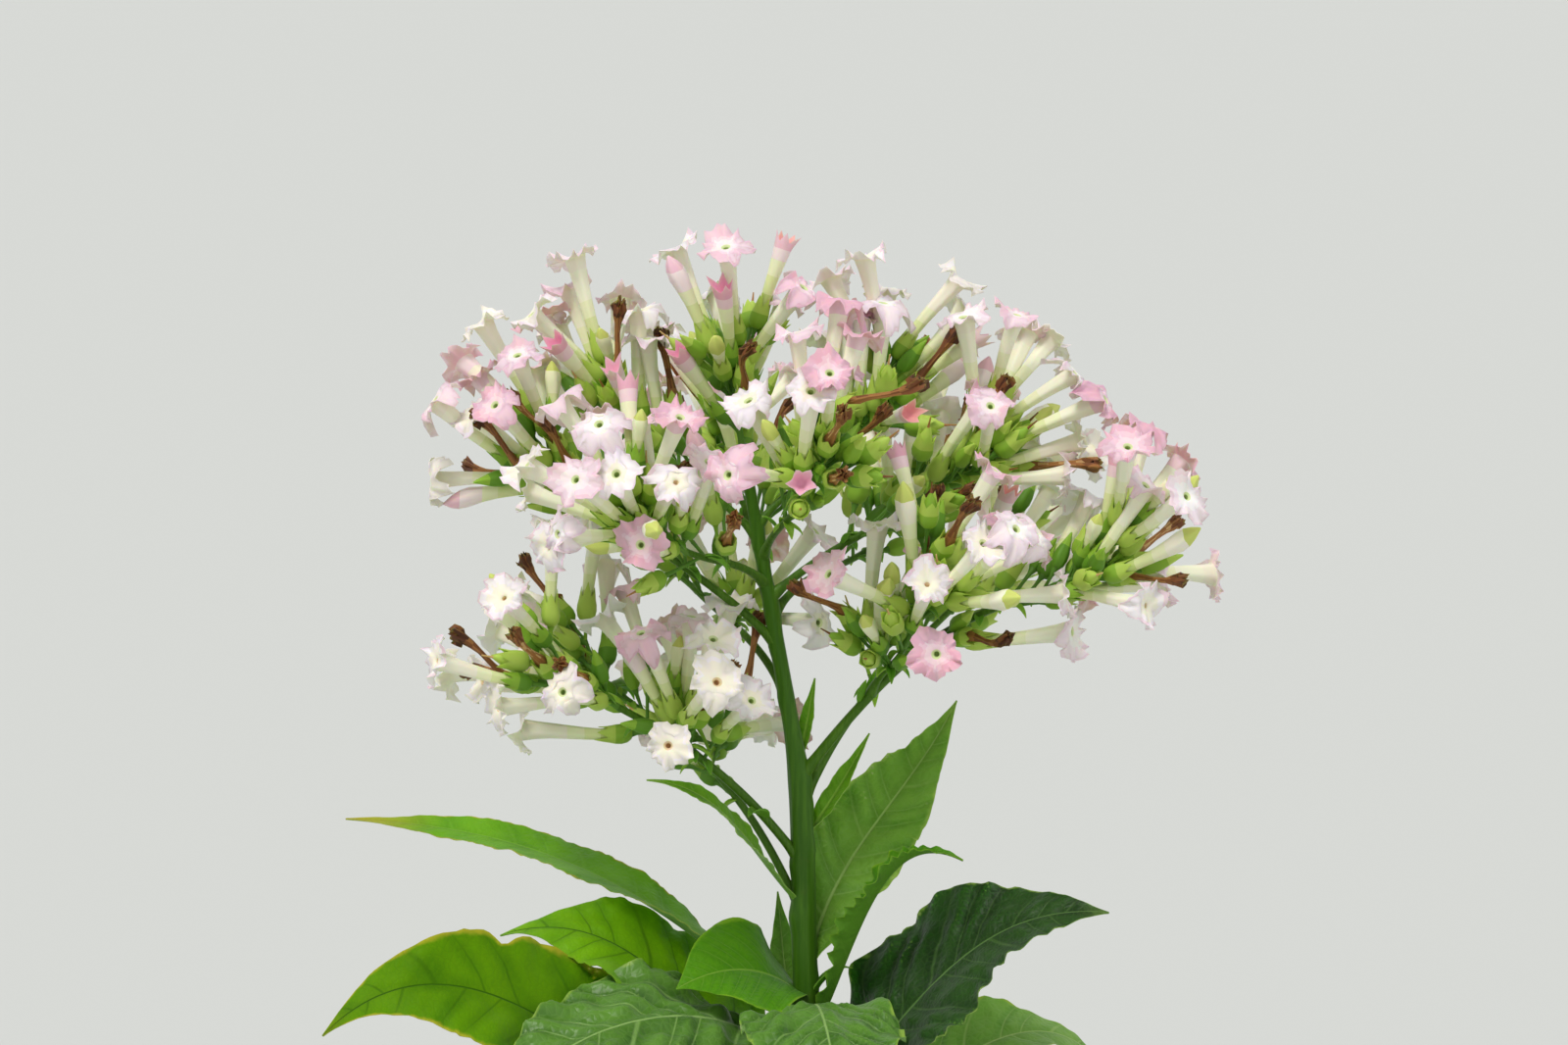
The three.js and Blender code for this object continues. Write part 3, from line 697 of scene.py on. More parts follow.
def start_finish(name, roughness, glow=0.0, glow_size=0.0, shine=0.5, sheen=0.0):
    """A material, its node tree and its shader, with what is the same all over set on the shader."""
    finish = bpy.data.materials.new(name)
    finish.use_nodes = True
    tree = finish.node_tree
    shader = tree.nodes["Principled BSDF"]
    for socket, value in {
        "Roughness": roughness, "Specular IOR Level": shine, "Sheen Weight": sheen,
        "Subsurface Weight": glow, "Subsurface Radius": GLOW_REACH, "Subsurface Scale": glow_size * MM,
    }.items():
        shader.inputs[socket].default_value = value
    return finish, tree, shader


def add(tree, kind, *values, **settings):
    """A shader node: each value is linked or set on the input in its place, and None leaves it."""
    made = tree.nodes.new("ShaderNode" + kind)
    for key, value in settings.items():
        setattr(made, key, value)
    for socket, value in zip(made.inputs, values):
        if isinstance(value, bpy.types.NodeSocket):
            tree.links.new(value, socket)
        elif value is not None:
            socket.default_value = value
    return made


def maths(tree, operation, *values):
    """A number worked out from others."""
    return add(tree, "Math", *values, operation=operation).outputs[0]


def times(tree, first, second):
    """One number times another."""
    return maths(tree, "MULTIPLY", first, second)


def ramp(tree, value, low, high, start=0.0, end=1.0):
    """start below low, end above high, and a smooth step between."""
    return add(
        tree, "MapRange", value, low, high, start, end, interpolation_type="SMOOTHSTEP",
    ).outputs[0]


def blend(tree, share, first, second):
    """The first colour at share 0, the second at share 1. Of the node's inputs, the share comes first,
    then five for other kinds of value, then the two colours."""
    return add(tree, "Mix", share, *[None] * 5, first, second, data_type="RGBA").outputs[2]


def noise(tree, vector, scale, detail=2.0, roughness=0.5):
    """Smooth noise from 0 to 1 on a vector, at so many lumps to its unit."""
    return add(tree, "TexNoise", vector, None, scale, detail, roughness).outputs[0]


def set_relief(tree, shader, height, depth):
    """A bump from a height, as deep as the depth in millimetres."""
    bump = add(tree, "Bump", 1.0, depth * MM)
    tree.links.new(height, bump.inputs["Height"])
    tree.links.new(bump.outputs[0], shader.inputs["Normal"])


def leaf_finish(
    name, deep, light, vein, under, edge, vein_share, edge_from, tip_from, roughness, shine, depth,
):
    """Leaf skin: two greens in soft blotches, a painted highlight on the cushions between the side veins,
    midrib and side veins with a fine net between them, a paler under face, and an edge and a tip that turn
    to another colour."""
    finish, tree, shader = start_finish(name, roughness, glow=0.2, glow_size=1.8, shine=shine, sheen=0.06)
    blade = add(tree, "Attribute", attribute_name="blade").outputs["Vector"]
    place = add(tree, "Attribute", attribute_name="place").outputs["Vector"]
    from_rib, _, upper = add(tree, "SeparateXYZ", blade).outputs
    from_middle, share, vein_phase = add(tree, "SeparateXYZ", place).outputs
    rib = maths(tree, "ABSOLUTE", from_rib)
    across = maths(tree, "ABSOLUTE", from_middle)
    # Side veins leave the midrib in turn on its two halves.
    shift = times(tree, maths(tree, "GREATER_THAN", from_middle, 0.0), 0.5)
    phase = maths(tree, "PINGPONG", maths(tree, "ADD", vein_phase, shift), 0.5)

    # The two greens: soft blotches and fine flecks. Then a painted highlight: the cushions between the side
    # veins are paler, fading towards the veins and the midrib, as if lit on their tops.
    blotches = ramp(tree, noise(tree, blade, 0.025, 3.0), 0.25, 0.75)
    flecks = noise(tree, blade, 0.5, 4.0, 0.7)
    painted_cushion_light = times(tree, ramp(tree, phase, 0.08, 0.4), ramp(tree, across, 0.05, 0.3))
    tone = blend(tree, blotches, deep, light)
    tone = blend(tree, ramp(tree, flecks, 0.35, 0.8, 0.0, 0.3), tone, light)
    tone = blend(tree, times(tree, painted_cushion_light, 0.6), tone, light)

    # Veins: a net of small ones, side veins that fade outward, and a midrib that narrows to the tip.
    net = add(tree, "TexVoronoi", blade, None, 0.3, feature="DISTANCE_TO_EDGE").outputs["Distance"]
    net_line = times(tree, ramp(tree, net, 0.0, 0.1, 1.0, 0.0), 0.12)
    fading = ramp(tree, across, 0.35, 1.0, vein_share, vein_share * 0.4)
    side_vein = times(tree, ramp(tree, phase, 0.012, 0.06, 1.0, 0.0), fading)
    rib_width = maths(tree, "ADD", times(tree, maths(tree, "SUBTRACT", 1.0, share), 0.8), 0.25)
    midrib = ramp(tree, maths(tree, "DIVIDE", rib, rib_width), 0.5, 1.2, 1.0, 0.0)
    veins = maths(tree, "MAXIMUM", net_line, maths(tree, "MAXIMUM", side_vein, midrib))
    tone = blend(tree, veins, tone, vein)

    # The turning edge and tip, and the paler under face.
    rim = maths(tree, "ADD", across, times(tree, noise(tree, blade, 0.12, 3.0), 0.25))
    tone = blend(tree, ramp(tree, rim, edge_from, 1.14), tone, edge)
    tone = blend(tree, ramp(tree, share, tip_from, tip_from + 0.2), tone, edge)
    tone = blend(tree, upper, blend(tree, 0.7, tone, under), tone)
    tree.links.new(tone, shader.inputs["Base Color"])

    # Fine relief: small cushions in the net and flecks stand up, the veins lie low.
    cushions = times(tree, ramp(tree, net, 0.0, 0.5), 0.4)
    height = maths(tree, "ADD", cushions, times(tree, flecks, 0.1))
    set_relief(tree, shader, maths(tree, "SUBTRACT", height, times(tree, veins, 0.6)), depth)
    return finish


EARTHY, BLEMISH = colour(112, 98, 56), colour(96, 100, 40)
STREAK_STRETCH = 0.06


def stem_finish(name, low, high, streak, scale):
    """Smooth green stalk: its green changes with height, it has fine streaks along it and small
    blemishes, and it is earthy near the ground."""
    finish, tree, shader = start_finish(name, 0.42, glow=0.1, glow_size=1.5, shine=0.24, sheen=0.1)
    shader.inputs["Sheen Tint"].default_value = (0.75, 1.0, 0.5, 1.0)
    where = add(tree, "TexCoord").outputs["Object"]
    height = add(tree, "SeparateXYZ", where).outputs[2]
    stretched = (scale, scale, scale * STREAK_STRETCH)
    streaks = noise(tree, add(tree, "Mapping", where, None, None, stretched).outputs[0], 1.0, 4.0, 0.6)
    mottle = noise(tree, where, 60.0, 4.0, 0.6)
    tone = blend(tree, ramp(tree, height, 0.1, 0.95), colour(*low), colour(*high))
    tone = blend(tree, ramp(tree, streaks, 0.35, 0.75, 0.0, 0.55), tone, colour(*streak))
    tone = blend(tree, ramp(tree, height, 0.0, 0.12, 0.75, 0.0), tone, EARTHY)
    tone = blend(tree, ramp(tree, mottle, 0.62, 0.8, 0.0, 0.35), tone, BLEMISH)
    tree.links.new(tone, shader.inputs["Base Color"])
    set_relief(tree, shader, maths(tree, "ADD", streaks, times(tree, mottle, 0.3)), 0.35)
    return finish


# Leaf colours: deep, light, vein, under face and edge. Then come the veins' strength, where the edge
# and the tip begin to turn, the roughness, the shine, and the depth of the fine relief.
SHADES_OF_A_LEAF = 5
YELLOW_EDGE = (164, 158, 40)
LEAF_COLOURS = {
    "fresh": (
        (70, 124, 12), (120, 166, 56), (146, 182, 92), (104, 148, 54), (148, 182, 76),
        0.36, 1.02, 0.88, 0.44, 0.2, 0.5,
    ),
    # dark: a deep green leaf, whose greens are also darkened further as painted shade.
    "dark": (
        (8, 38, 0), (36, 72, 16), (84, 120, 56), (72, 112, 36), (120, 150, 60),
        0.36, 1.08, 0.92, 0.44, 0.24, 0.4,
    ),
    "grey": (
        (34, 78, 6), (94, 140, 48), (134, 170, 92), (104, 144, 62), (132, 166, 60),
        0.6, 1.08, 0.95, 0.36, 0.26, 0.5,
    ),
    "pale": (
        (94, 146, 46), (130, 174, 72), (168, 200, 110), (142, 180, 92), (156, 180, 60),
        0.5, 1.05, 0.92, 0.46, 0.2, 0.4,
    ),
    "smooth": (
        (50, 108, 0), (80, 138, 8), (110, 154, 44), (96, 142, 44), (116, 160, 30),
        0.4, 1.04, 0.93, 0.42, 0.14, 0.35,
    ),
    "glowing": (
        (86, 142, 0), (118, 172, 0), (58, 106, 0), (92, 140, 20), (116, 160, 20),
        0.6, 1.04, 0.93, 0.48, 0.14, 0.3,
    ),
    "yellow": (
        (60, 106, 0), (92, 138, 0), (48, 90, 0), (104, 146, 18), YELLOW_EDGE,
        0.5, 1.0, 0.93, 0.5, 0.04, 0.25,
    ),
    "tipped": (
        (80, 138, 0), (106, 164, 12), (112, 168, 36), (160, 198, 114), YELLOW_EDGE,
        0.4, 1.06, 0.8, 0.46, 0.16, 0.35,
    ),
    "spring": (
        (78, 136, 6), (108, 160, 26), (132, 176, 60), (128, 172, 70), (150, 184, 84),
        0.4, 1.02, 0.9, 0.46, 0.16, 0.35,
    ),
}
LEAF_FINISHES = {}
for name, row in LEAF_COLOURS.items():
    shades = [colour(*shown) for shown in row[:SHADES_OF_A_LEAF]]
    LEAF_FINISHES[name] = leaf_finish("leaf_" + name, *shades, *row[SHADES_OF_A_LEAF:])
STEM_FINISH = stem_finish("stem_skin", (60, 106, 14), (54, 98, 4), (86, 132, 26), 420)
BOUGH_FINISH = stem_finish("bough_skin", (60, 100, 10), (62, 102, 8), (92, 134, 32), 700)

# Tones of the flowers, each a plain colour.
FLOWER_TONES = {
    "rose": (228, 156, 182), "pink": (232, 176, 194), "blush": (238, 196, 208), "faint": (242, 213, 219),
    "pale": (246, 229, 229), "white": (247, 242, 237), "cream": (245, 240, 220), "tube": (246, 245, 220),
    "tube_light": (239, 241, 202), "tube_mid": (226, 233, 174), "tube_green": (202, 218, 134),
    "calyx_light": (178, 204, 88), "calyx": (138, 178, 54), "calyx_dark": (98, 146, 38),
    "lime": (206, 214, 116), "salmon": (236, 168, 166), "sand": (228, 208, 166), "tan": (200, 162, 110),
    "bronze": (158, 108, 60), "brown": (122, 74, 40), "dark_brown": (84, 48, 28),
    "throat": (214, 224, 168), "eye": (156, 178, 100), "twig": (92, 136, 46),
}
TONE_NAMES = list(FLOWER_TONES)


def petal_finish(name, shown):
    """A plain tone for petals, calyces and twigs: soft, with a little light coming through."""
    finish, _, shader = start_finish("flower_" + name, 0.55, glow=0.45, glow_size=2.4, shine=0.3)
    shader.inputs["Base Color"].default_value = colour(*shown)
    return finish


FLOWER_FINISHES = [petal_finish(name, shown) for name, shown in FLOWER_TONES.items()]


# Stem and boughs. Ridges: how many run round the stem, how high they are as a share of its radius,
# and over what height they turn. Swellings: how far below a leaf they are, their share and height.
STEM_RIDGES = ((7, 0.012, 90), (11, 0.008, -60))
LEAF_SWELLINGS = ((2, 1.0, 5), (16, 0.5, 16))
LEAF_SWELLING = 0.16
BOUGH_SWELLING, BOUGH_SWELLING_HEIGHT = 0.9, 5
# A scar's rim stands out below its hollow: size and height of both, and how far apart they are.
SCAR_RIM, SCAR_RIM_HEIGHT, SCAR_HOLLOW, SCAR_HOLLOW_HEIGHT, SCAR_APART = 2.6, 5, 2.2, 2.5, 4
TOES, TOE_SIZE, TOE_TURN, TOE_HEIGHT = 5, 0.08, 0.6, 14
COLLAR_SIZE, COLLAR_LENGTH = 0.7, 7
BOUGH_RIDGES, BOUGH_RIDGE_SIZE, BOUGH_RIDGE_TURN = 3, 0.04, 12


def swelling(heights, turns, height, heading, size, tall):
    """A low swelling on one side: size * exp(-(dz / tall)^2) * ((1 + cos(turn - heading)) / 2)^2."""
    return size * hump(heights - height, tall) * ((1 + np.cos(turns - math.radians(heading))) / 2) ** 2


def stem_shape():
    """The stem's skin: its taper, soft ridges, a swelling under each leaf and bough, scars, and a level
    cut at the ground."""
    heights = np.linspace(0, STEM_HEIGHT, int(STEM_HEIGHT / STEM_ROW_STEP))[:, None]
    turns = around(STEM_COLUMNS)[None]
    radius = np.repeat(stem_radius(heights), STEM_COLUMNS, axis=1)
    radius *= 1 + sum(size * np.sin(count * turns + heights / turn) for count, size, turn in STEM_RIDGES)
    for leaf in leaves:
        full = LEAF_SWELLING * stem_radius(leaf["from"])
        for below, share, tall in LEAF_SWELLINGS:
            radius += swelling(heights, turns, leaf["from"] - below, leaf["heading"], full * share, tall)
    for _, height, heading, *_ in BOUGH_ROWS:
        radius += swelling(heights, turns, height, heading, BOUGH_SWELLING, BOUGH_SWELLING_HEIGHT)
    for count, height in enumerate(SCAR_HEIGHTS):
        heading = SPIRAL_START - SPIRAL_ANGLE * (len(SCAR_HEIGHTS) - count)
        radius += swelling(heights, turns, height, heading, SCAR_RIM, SCAR_RIM_HEIGHT)
        radius -= swelling(heights, turns, height + SCAR_APART, heading, SCAR_HOLLOW, SCAR_HOLLOW_HEIGHT)
    toes = TOE_SIZE * np.sin(TOES * turns + TOE_TURN) * np.exp(-heights / TOE_HEIGHT)
    rings = tube_rings(stem_point(heights[:, 0]), radius * (1 + toes), AWAY, STEM_COLUMNS)
    rings[0, :, 2] = 0
    return skin(rings)


def bough_shape(line, heading, root_radius, tip_radius):
    """A bough's skin: its taper along the growth line, a collar at the root, and soft ridges."""
    shares = np.linspace(0, 1, BOUGH_ROWS_FINE)
    path = curve_points(line, shares)
    distance = np.linalg.norm(path - path[0], axis=1)
    radius = mix(root_radius, tip_radius, shares) * (1 + COLLAR_SIZE * hump(distance, COLLAR_LENGTH))
    ridge_phase = BOUGH_RIDGES * around(BOUGH_COLUMNS)[None] + distance[:, None] / BOUGH_RIDGE_TURN
    ridges = 1 + BOUGH_RIDGE_SIZE * np.sin(ridge_phase)
    return skin(tube_rings(path, radius[:, None] * ridges, outward(heading - 90, 0), BOUGH_COLUMNS))


make_piece("stem_surface", stem_shape(), [STEM_FINISH], ["stem"])
make_piece(
    "bough_surfaces", joined([bough_shape(*bough[1:]) for bough in boughs]), [BOUGH_FINISH],
    [f"bough_{bough[0]}" for bough in boughs],
)


# Leaves. A blade's columns stand closer at the midrib, and its half width keeps above a least one.
LEAF_SEED = 70
LENGTH_STEPS = 200
FEWEST_COLUMNS = 9
CLOSER_AT_RIB = 1.15
LEAST_HALF = 0.35
EDGE_BAYS, EDGE_BAY_SIZE = 4, 0.03
# Side veins drift from their even places, along the blade and across it.
VEIN_DRIFT, VEIN_DRIFT_PACE = 0.2, 2.3
VEIN_SWAY, VEIN_SWAY_LENGTH = 0.03, 7
# Cushions between the side veins: how high and uneven they are, how long, and how far each starts
# from its neighbour. Near the midrib they are calm.
CUSHION_HEIGHT, CUSHION_SWING, CUSHION_LENGTH, CUSHION_SHIFT = 0.65, 0.35, 2.6, 1.9
CUSHION_LEVEL = 0.4
CALM_BY_RIB = 6
FOLD_SOFTNESS = 0.004
# Crinkles: waves in all directions, the first of them short.
CRINKLES, SHORT_CRINKLES = 10, 4
SHORT_LENGTHS, LONG_LENGTHS = (7, 13), (13, 34)
CRINKLE_SHARE, CRINKLE_LENGTH = 6, 22
RUFFLE_DRIFTS = ((1.6, 47), (1.1, 29))
# Midrib and veins below the blade: sizes at foot and tip, widths, and the groove on the upper face.
RIB_SIZES, RIB_WIDTH = (1.5, 0.3), 1.7
RIB_BASE_LENGTH, RIB_GROWTH = 200, 0.6
VEIN_SIZE, VEIN_WIDTH = 0.35, 0.9
GROOVE_DEPTH, GROOVE_WIDTH = 0.35, 1.2
EDGE_THINNESS = 0.55


def leaf_shape(leaf, seed):
    """A blade as a closed skin: middle + side * across * half * cos(fold) + normal * lift, where lift
    adds the fold, waves that grow to the edge, cushions between the veins, crinkles and ruffles. The
    under face follows the upper one at the blade's thickness, thicker on the midrib and the veins."""
    random = np.random.default_rng(seed)
    line = leaf_line(leaf)
    stretches = np.diff(curve_points(line, np.linspace(0, 1, LENGTH_STEPS)), axis=0)
    length = np.linalg.norm(stretches, axis=1).sum()
    grain = LARGE_BLADE_COARSER if length > LARGE_BLADE else 1
    rows = int(length / (ALONG_STEP * grain)) + 1
    columns = max(int(leaf["width"] / (COLUMN_WIDTH * grain)) // 2 * 2 + 1, FEWEST_COLUMNS)
    share = np.linspace(0, 1, rows)
    spread = np.linspace(-1, 1, columns)
    s, a = share[:, None], (np.sign(spread) * np.abs(spread) ** CLOSER_AT_RIB)[None]
    one_side = a > 0

    middle, slope = curve_points(line, share), curve_slopes(line, share)
    level = outward(leaf["heading"] - 90, 0)
    flat_normal = unit(np.cross(level, slope))
    roll = math.radians(leaf["roll"]) * np.minimum(share / ROLL_SETTLES_AT, 1)[:, None]
    roll = roll + math.radians(leaf["twist"]) * 2 * (s - TWIST_MIDDLE)
    side = level * np.cos(roll) + flat_normal * np.sin(roll)
    normal = unit(np.cross(side, slope))

    half = half_width(leaf, share)[:, None] + LEAST_HALF
    fullness = half / (leaf["width"] / 2)
    swings = random.uniform(0, 2 * np.pi, 8)
    bays = np.sin(2 * np.pi * EDGE_BAYS * s + swings[0] + 2 * one_side)
    uneven = 1 + EDGE_BAY_SIZE * bays * np.abs(a) ** 2
    if leaf["name"] == NOTCHED_LEAF:
        uneven = uneven - NOTCH_DEPTH * hump(s - NOTCH_AT, NOTCH_WIDTH) * one_side * a * a
    x = a * half * uneven
    y = s * length
    from_rib = np.abs(x)
    spacing = length / VEINS_PER_BLADE
    phase = (y - VEIN_LEAN * from_rib - VEIN_CURVE * from_rib * np.abs(a)) / spacing
    drift = VEIN_DRIFT * np.sin(phase * VEIN_DRIFT_PACE + swings[4])
    phase = phase + drift + VEIN_SWAY * np.sin(from_rib / VEIN_SWAY_LENGTH + swings[5] + phase)
    full_phase = phase + 0.5 * one_side

    fold = math.radians(leaf["fold"])
    lift = (np.sqrt(a * a + FOLD_SOFTNESS) - math.sqrt(FOLD_SOFTNESS)) * half * math.sin(fold)
    wave_phase = 2 * np.pi * WAVES_PER_LEAF * s + np.where(one_side, 0, WAVE_SHIFT)
    lift = lift + leaf["wave"] * a * a * fullness * np.sin(wave_phase)
    inner = np.minimum(from_rib / CALM_BY_RIB, 1)
    cushion_phase = from_rib / CUSHION_LENGTH + CUSHION_SHIFT * np.floor(full_phase) + swings[6]
    cushions = CUSHION_HEIGHT + CUSHION_SWING * np.sin(cushion_phase)
    puffed = cushions * np.sin(np.pi * full_phase) ** 2 - CUSHION_LEVEL
    lift = lift + leaf["puff"] * inner * np.sqrt(fullness) * puffed
    for number in range(CRINKLES):
        wavelength = random.uniform(*(SHORT_LENGTHS if number < SHORT_CRINKLES else LONG_LENGTHS))
        angle = random.uniform(0, np.pi)
        crinkle_phase = (x * math.cos(angle) + y * math.sin(angle)) * 2 * np.pi / wavelength
        crinkle = leaf["crinkle"] / CRINKLE_SHARE * inner * np.sin(crinkle_phase + random.uniform(0, 6))
        lift = lift + crinkle * wavelength / CRINKLE_LENGTH
    ruffle_length = np.clip(leaf["width"] * RUFFLE_SHARE, *RUFFLE_LENGTHS)
    drifting = sum(
        size * np.sin(2 * np.pi * y / long + swing) for (size, long), swing in zip(RUFFLE_DRIFTS, swings[2:])
    )
    ripple = 2 * np.pi * y / ruffle_length + swings[1] + drifting + 2 * one_side
    lift = lift + leaf["ruffle"] * np.abs(a) ** 3 * fullness * np.sin(ripple)

    vein_gap = np.abs((full_phase + 0.5) % 1 - 0.5) * spacing
    rib_size = mix(*RIB_SIZES, s) * (length / RIB_BASE_LENGTH) ** RIB_GROWTH
    under_ribs = rib_size * hump(x, RIB_WIDTH) + VEIN_SIZE * inner * hump(vein_gap, VEIN_WIDTH)
    groove = GROOVE_DEPTH * hump(x, GROOVE_WIDTH) * (1 - s)
    thickness = BLADE_THICKNESS * mix(1, EDGE_THINNESS, np.abs(a))

    def lay(offset):
        flat = middle[:, None] + side[:, None] * (x * math.cos(fold))[..., None]
        return flat + normal[:, None] * (lift + offset)[..., None]

    def both(values, under_values=None):
        upper = np.broadcast_to(values, lift.shape)
        under = upper if under_values is None else np.broadcast_to(under_values, lift.shape)
        return np.concatenate([upper, under[:, ::-1]], axis=1).ravel()

    rings = np.concatenate([lay(thickness / 2 - groove), lay(-thickness / 2 - under_ribs)[:, ::-1]], axis=1)
    marks = {
        "blade": np.stack([both(x), both(y), both(1.0, 0.0)], -1),
        "place": np.stack([both(a), both(s), both(phase)], -1),
    }
    return skin(rings), marks


for leaf_number, leaf in enumerate(leaves):
    shape, marks = leaf_shape(leaf, LEAF_SEED + leaf_number)
    make_piece(
        leaf["name"] + "_blade", shape, [LEAF_FINISHES[leaf["finish"]]], [leaf["name"]], marks,
    )


# Flowers. Each grows along +Z from the foot of its stalk. The roles of its faces are numbers, which
# a row of tones turns into colours for each flower. A limb has steps of shade from its rim inwards.
LOBES = 5
ROUND, STALK_COLUMNS, CASE_COLUMNS = 4 * LOBES, 8, 12
BENDING_LENGTH = 50
STALK_ROLE, CALYX_ROLE, TEETH_ROLE = range(3)
FOOT_BANDS = ((0, 3), (1, 4), (2, 5))
TUBE_ROLE, NECK_ROLE, BACK_ROLE = 6, 7, 8
SHADE_ROLE, SHADES = 9, 5
THROAT_ROLE, EYE_ROLE = 14, 15
# Rows of height and radius. A calyx has its share of the teeth in the third place, and a flower that
# is half open has there how far its lobes rise and how far they curl out.
STALK_ROWS = np.array([(-0.6, 0.9), (3.0, 0.8), (6.0, 1.05), (8.6, 2.0)])
STALK_STRETCH = np.array([[0.0], [0.4], [0.8], [1.0]])
CALYX_ROWS = (
    (7.8, 1.1, 0), (8.6, 2.6, 0), (10.2, 3.8, 0), (12.8, 4.35, 0), (15.5, 4.2, 0), (17.6, 3.75, 0.12),
    (19, 3.3, 1), (18.8, 3.0, 0.94), (17, 2.8, 0.2),
)
TOOTH, TOOTH_SIZES = (0.0, 0.5, 1.0, 0.5), (0.65, 1.2)
RIBBED = 0.05
OPEN_TUBE = (
    (15.5, 2.2), (22, 2.45), (29, 2.7), (36.5, 3.0), (44, 3.4), (50, 3.9), (53.5, 4.4), (55.8, 4.8),
)
OPEN_THROAT = ((55.2, 1.2), (53.0, 1.0))
YOUNG_LOBE, CURLS = (1.0, 0.4, 0.0, 0.4), (0.6, 3.4)
HALF_OPEN_ROWS = (
    (15.5, 2.2, 0, 0), (25, 2.5, 0, 0), (34, 3.0, 0, 0), (42, 3.7, 0, 0), (47.5, 4.2, 0, 0),
    (50, 4.2, 2.2, 0.5), (51, 4.1, 4.6, 1.0), (50.8, 3.8, 4.4, 1.0), (49.6, 3.1, 2.0, 0.4),
    (47, 1.8, 0, 0),
)
CLUB_BUD_ROWS = (
    (15.5, 1.9), (21, 2.1), (25, 2.5), (29, 3.2), (32, 3.5), (34.5, 3.1), (36.8, 1.9), (38.4, 0.9),
    (39, 0.35),
)
LONG_BUD_ROWS = (
    (15.5, 2.2), (24, 2.5), (33, 2.9), (40, 3.6), (46, 4.3), (50, 4.0), (53.5, 2.7), (56, 1.2),
    (57.2, 0.4),
)
GREEN_BUD_ROWS = (
    (7.8, 1.0), (8.6, 2.2), (10.8, 3.3), (14, 3.7), (17.5, 3.3), (20.5, 2.5), (23.5, 1.6), (26, 0.85),
    (27.5, 0.35),
)
WITHERED_ROWS = (
    (16, 2.7), (20, 2.5), (23.5, 2.0), (28, 1.5), (32.5, 1.35), (36.5, 1.45), (40, 1.8), (43, 2.4),
    (45.5, 3.2), (47.6, 3.6), (49, 3.0), (49.6, 1.9), (48.6, 1.0),
)
SEED_CASE_ROWS = (
    (11, 3.4), (15, 3.9), (19, 3.5), (22, 2.5), (24.4, 1.3), (25.6, 0.6), (28.5, 0.4), (31, 0.3),
)
# The limb: radius of its rim over one lobe, from notch to notch with the lobe's point in the middle,
# how far lobes differ, how far it turns back with the chance of each, and the shares from the tube
# to the rim and back to the throat.
LOBE_RIM = (10.0, 11.2, 11.9, 12.0, 13.5, 12.0, 11.9, 11.2)
LIMB_HEIGHT = 57.5
LOBE_SIZES = (0.82, 1.07)
RAGGED_RIM = 0.8
LOPSIDED = 0.08
TURNED_BACK = (0.5, 1.8, 3.2, 6.0)
TURNED_BACK_CHANCES = (0.25, 0.3, 0.25, 0.2)
TILTS = ((1, 2.0), (2, 2.0), (3, 1.5))
RUFFLES = ((10, 1.4), (15, 1.0))
LOBE_HANG = (0.0, 1.9)
LOBE_BOW = (-2.6, 1.4)
LIMB_BACK = (0.08, 0.35, 0.68, 1.0)
LIMB_FRONT = (1.0, 0.9, 0.76, 0.6, 0.44, 0.28, 0.12, 0.0)
FRONT_ROW = 12
SHADE_STEPS = 5.6
# Both sides of the limb: shares, radius in the middle, how deep the side is hollowed, and its lift.
LIMB_SIDES = ((LIMB_BACK, 4.9, 1.4, -0.2), (LIMB_FRONT, 2.1, 1.6, 0.1))


def even(random, low, high, columns):
    """One number for each lobe, evenly between two limits, the same over all of the lobe's columns."""
    return random.uniform(low, high, LOBES).repeat(columns)


def banded(rows, columns, *bands):
    """A role for each face of a grid: each band has its first row and its role, up to the next one."""
    roles = np.zeros((rows - 1, columns), int)
    for first, role in bands:
        roles[first:] = role
    return roles


def split_rows(rows):
    """Heights and radii of rows, each as one column."""
    rows = np.array(rows)
    return rows[:, :1], rows[:, 1:]


def stalked(random, parts, bend, wriggle=None, longer=0.0):
    """A flower: its parts raised by some length on a thin stalk that widens into the calyx's foot, and
    all moved sideways by bend * t^2 + wriggle * sin(2 pi t), t the share of 50 past the stalk."""
    height, radius = split_rows(STALK_ROWS)
    radius = np.repeat(radius, STALK_COLUMNS, axis=1)
    stalk = skin(turned(height + longer * STALK_STRETCH, radius), STALK_ROLE)
    raised = [(points + UP * longer, quads, tones) for points, quads, tones in parts]
    points, quads, tones = joined([stalk] + raised)
    bend = random.uniform(*bend)
    wriggle = random.uniform(*wriggle) if wriggle else 0.0
    share = np.maximum(points[..., 2:] - STALK, 0) / BENDING_LENGTH
    turns = random.uniform(0, 2 * np.pi, 2)
    way, across = (np.array([math.cos(turn), math.sin(turn), 0.0]) for turn in turns)
    points = points + bend * share**2 * way + wriggle * np.sin(np.pi * share * 2) * across
    return points, quads, tones


def calyx_shape(random, girth=1.0, teeth=6.0, spread=0.0):
    """A calyx: an egg with ribs whose rim runs out into five uneven pointed teeth, and back inside."""
    tooth = np.tile(TOOTH, LOBES)
    point = tooth * teeth * even(random, *TOOTH_SIZES, len(TOOTH))
    ribs = 1 + RIBBED * np.cos(LOBES * around(ROUND))
    height = np.array([z + point * share for z, _, share in CALYX_ROWS])
    radius = np.array([r * girth * ribs + spread * share * tooth for _, r, share in CALYX_ROWS])
    roles = banded(len(CALYX_ROWS), ROUND, (0, CALYX_ROLE), (4, TEETH_ROLE))
    return skin(turned(height, radius), roles)


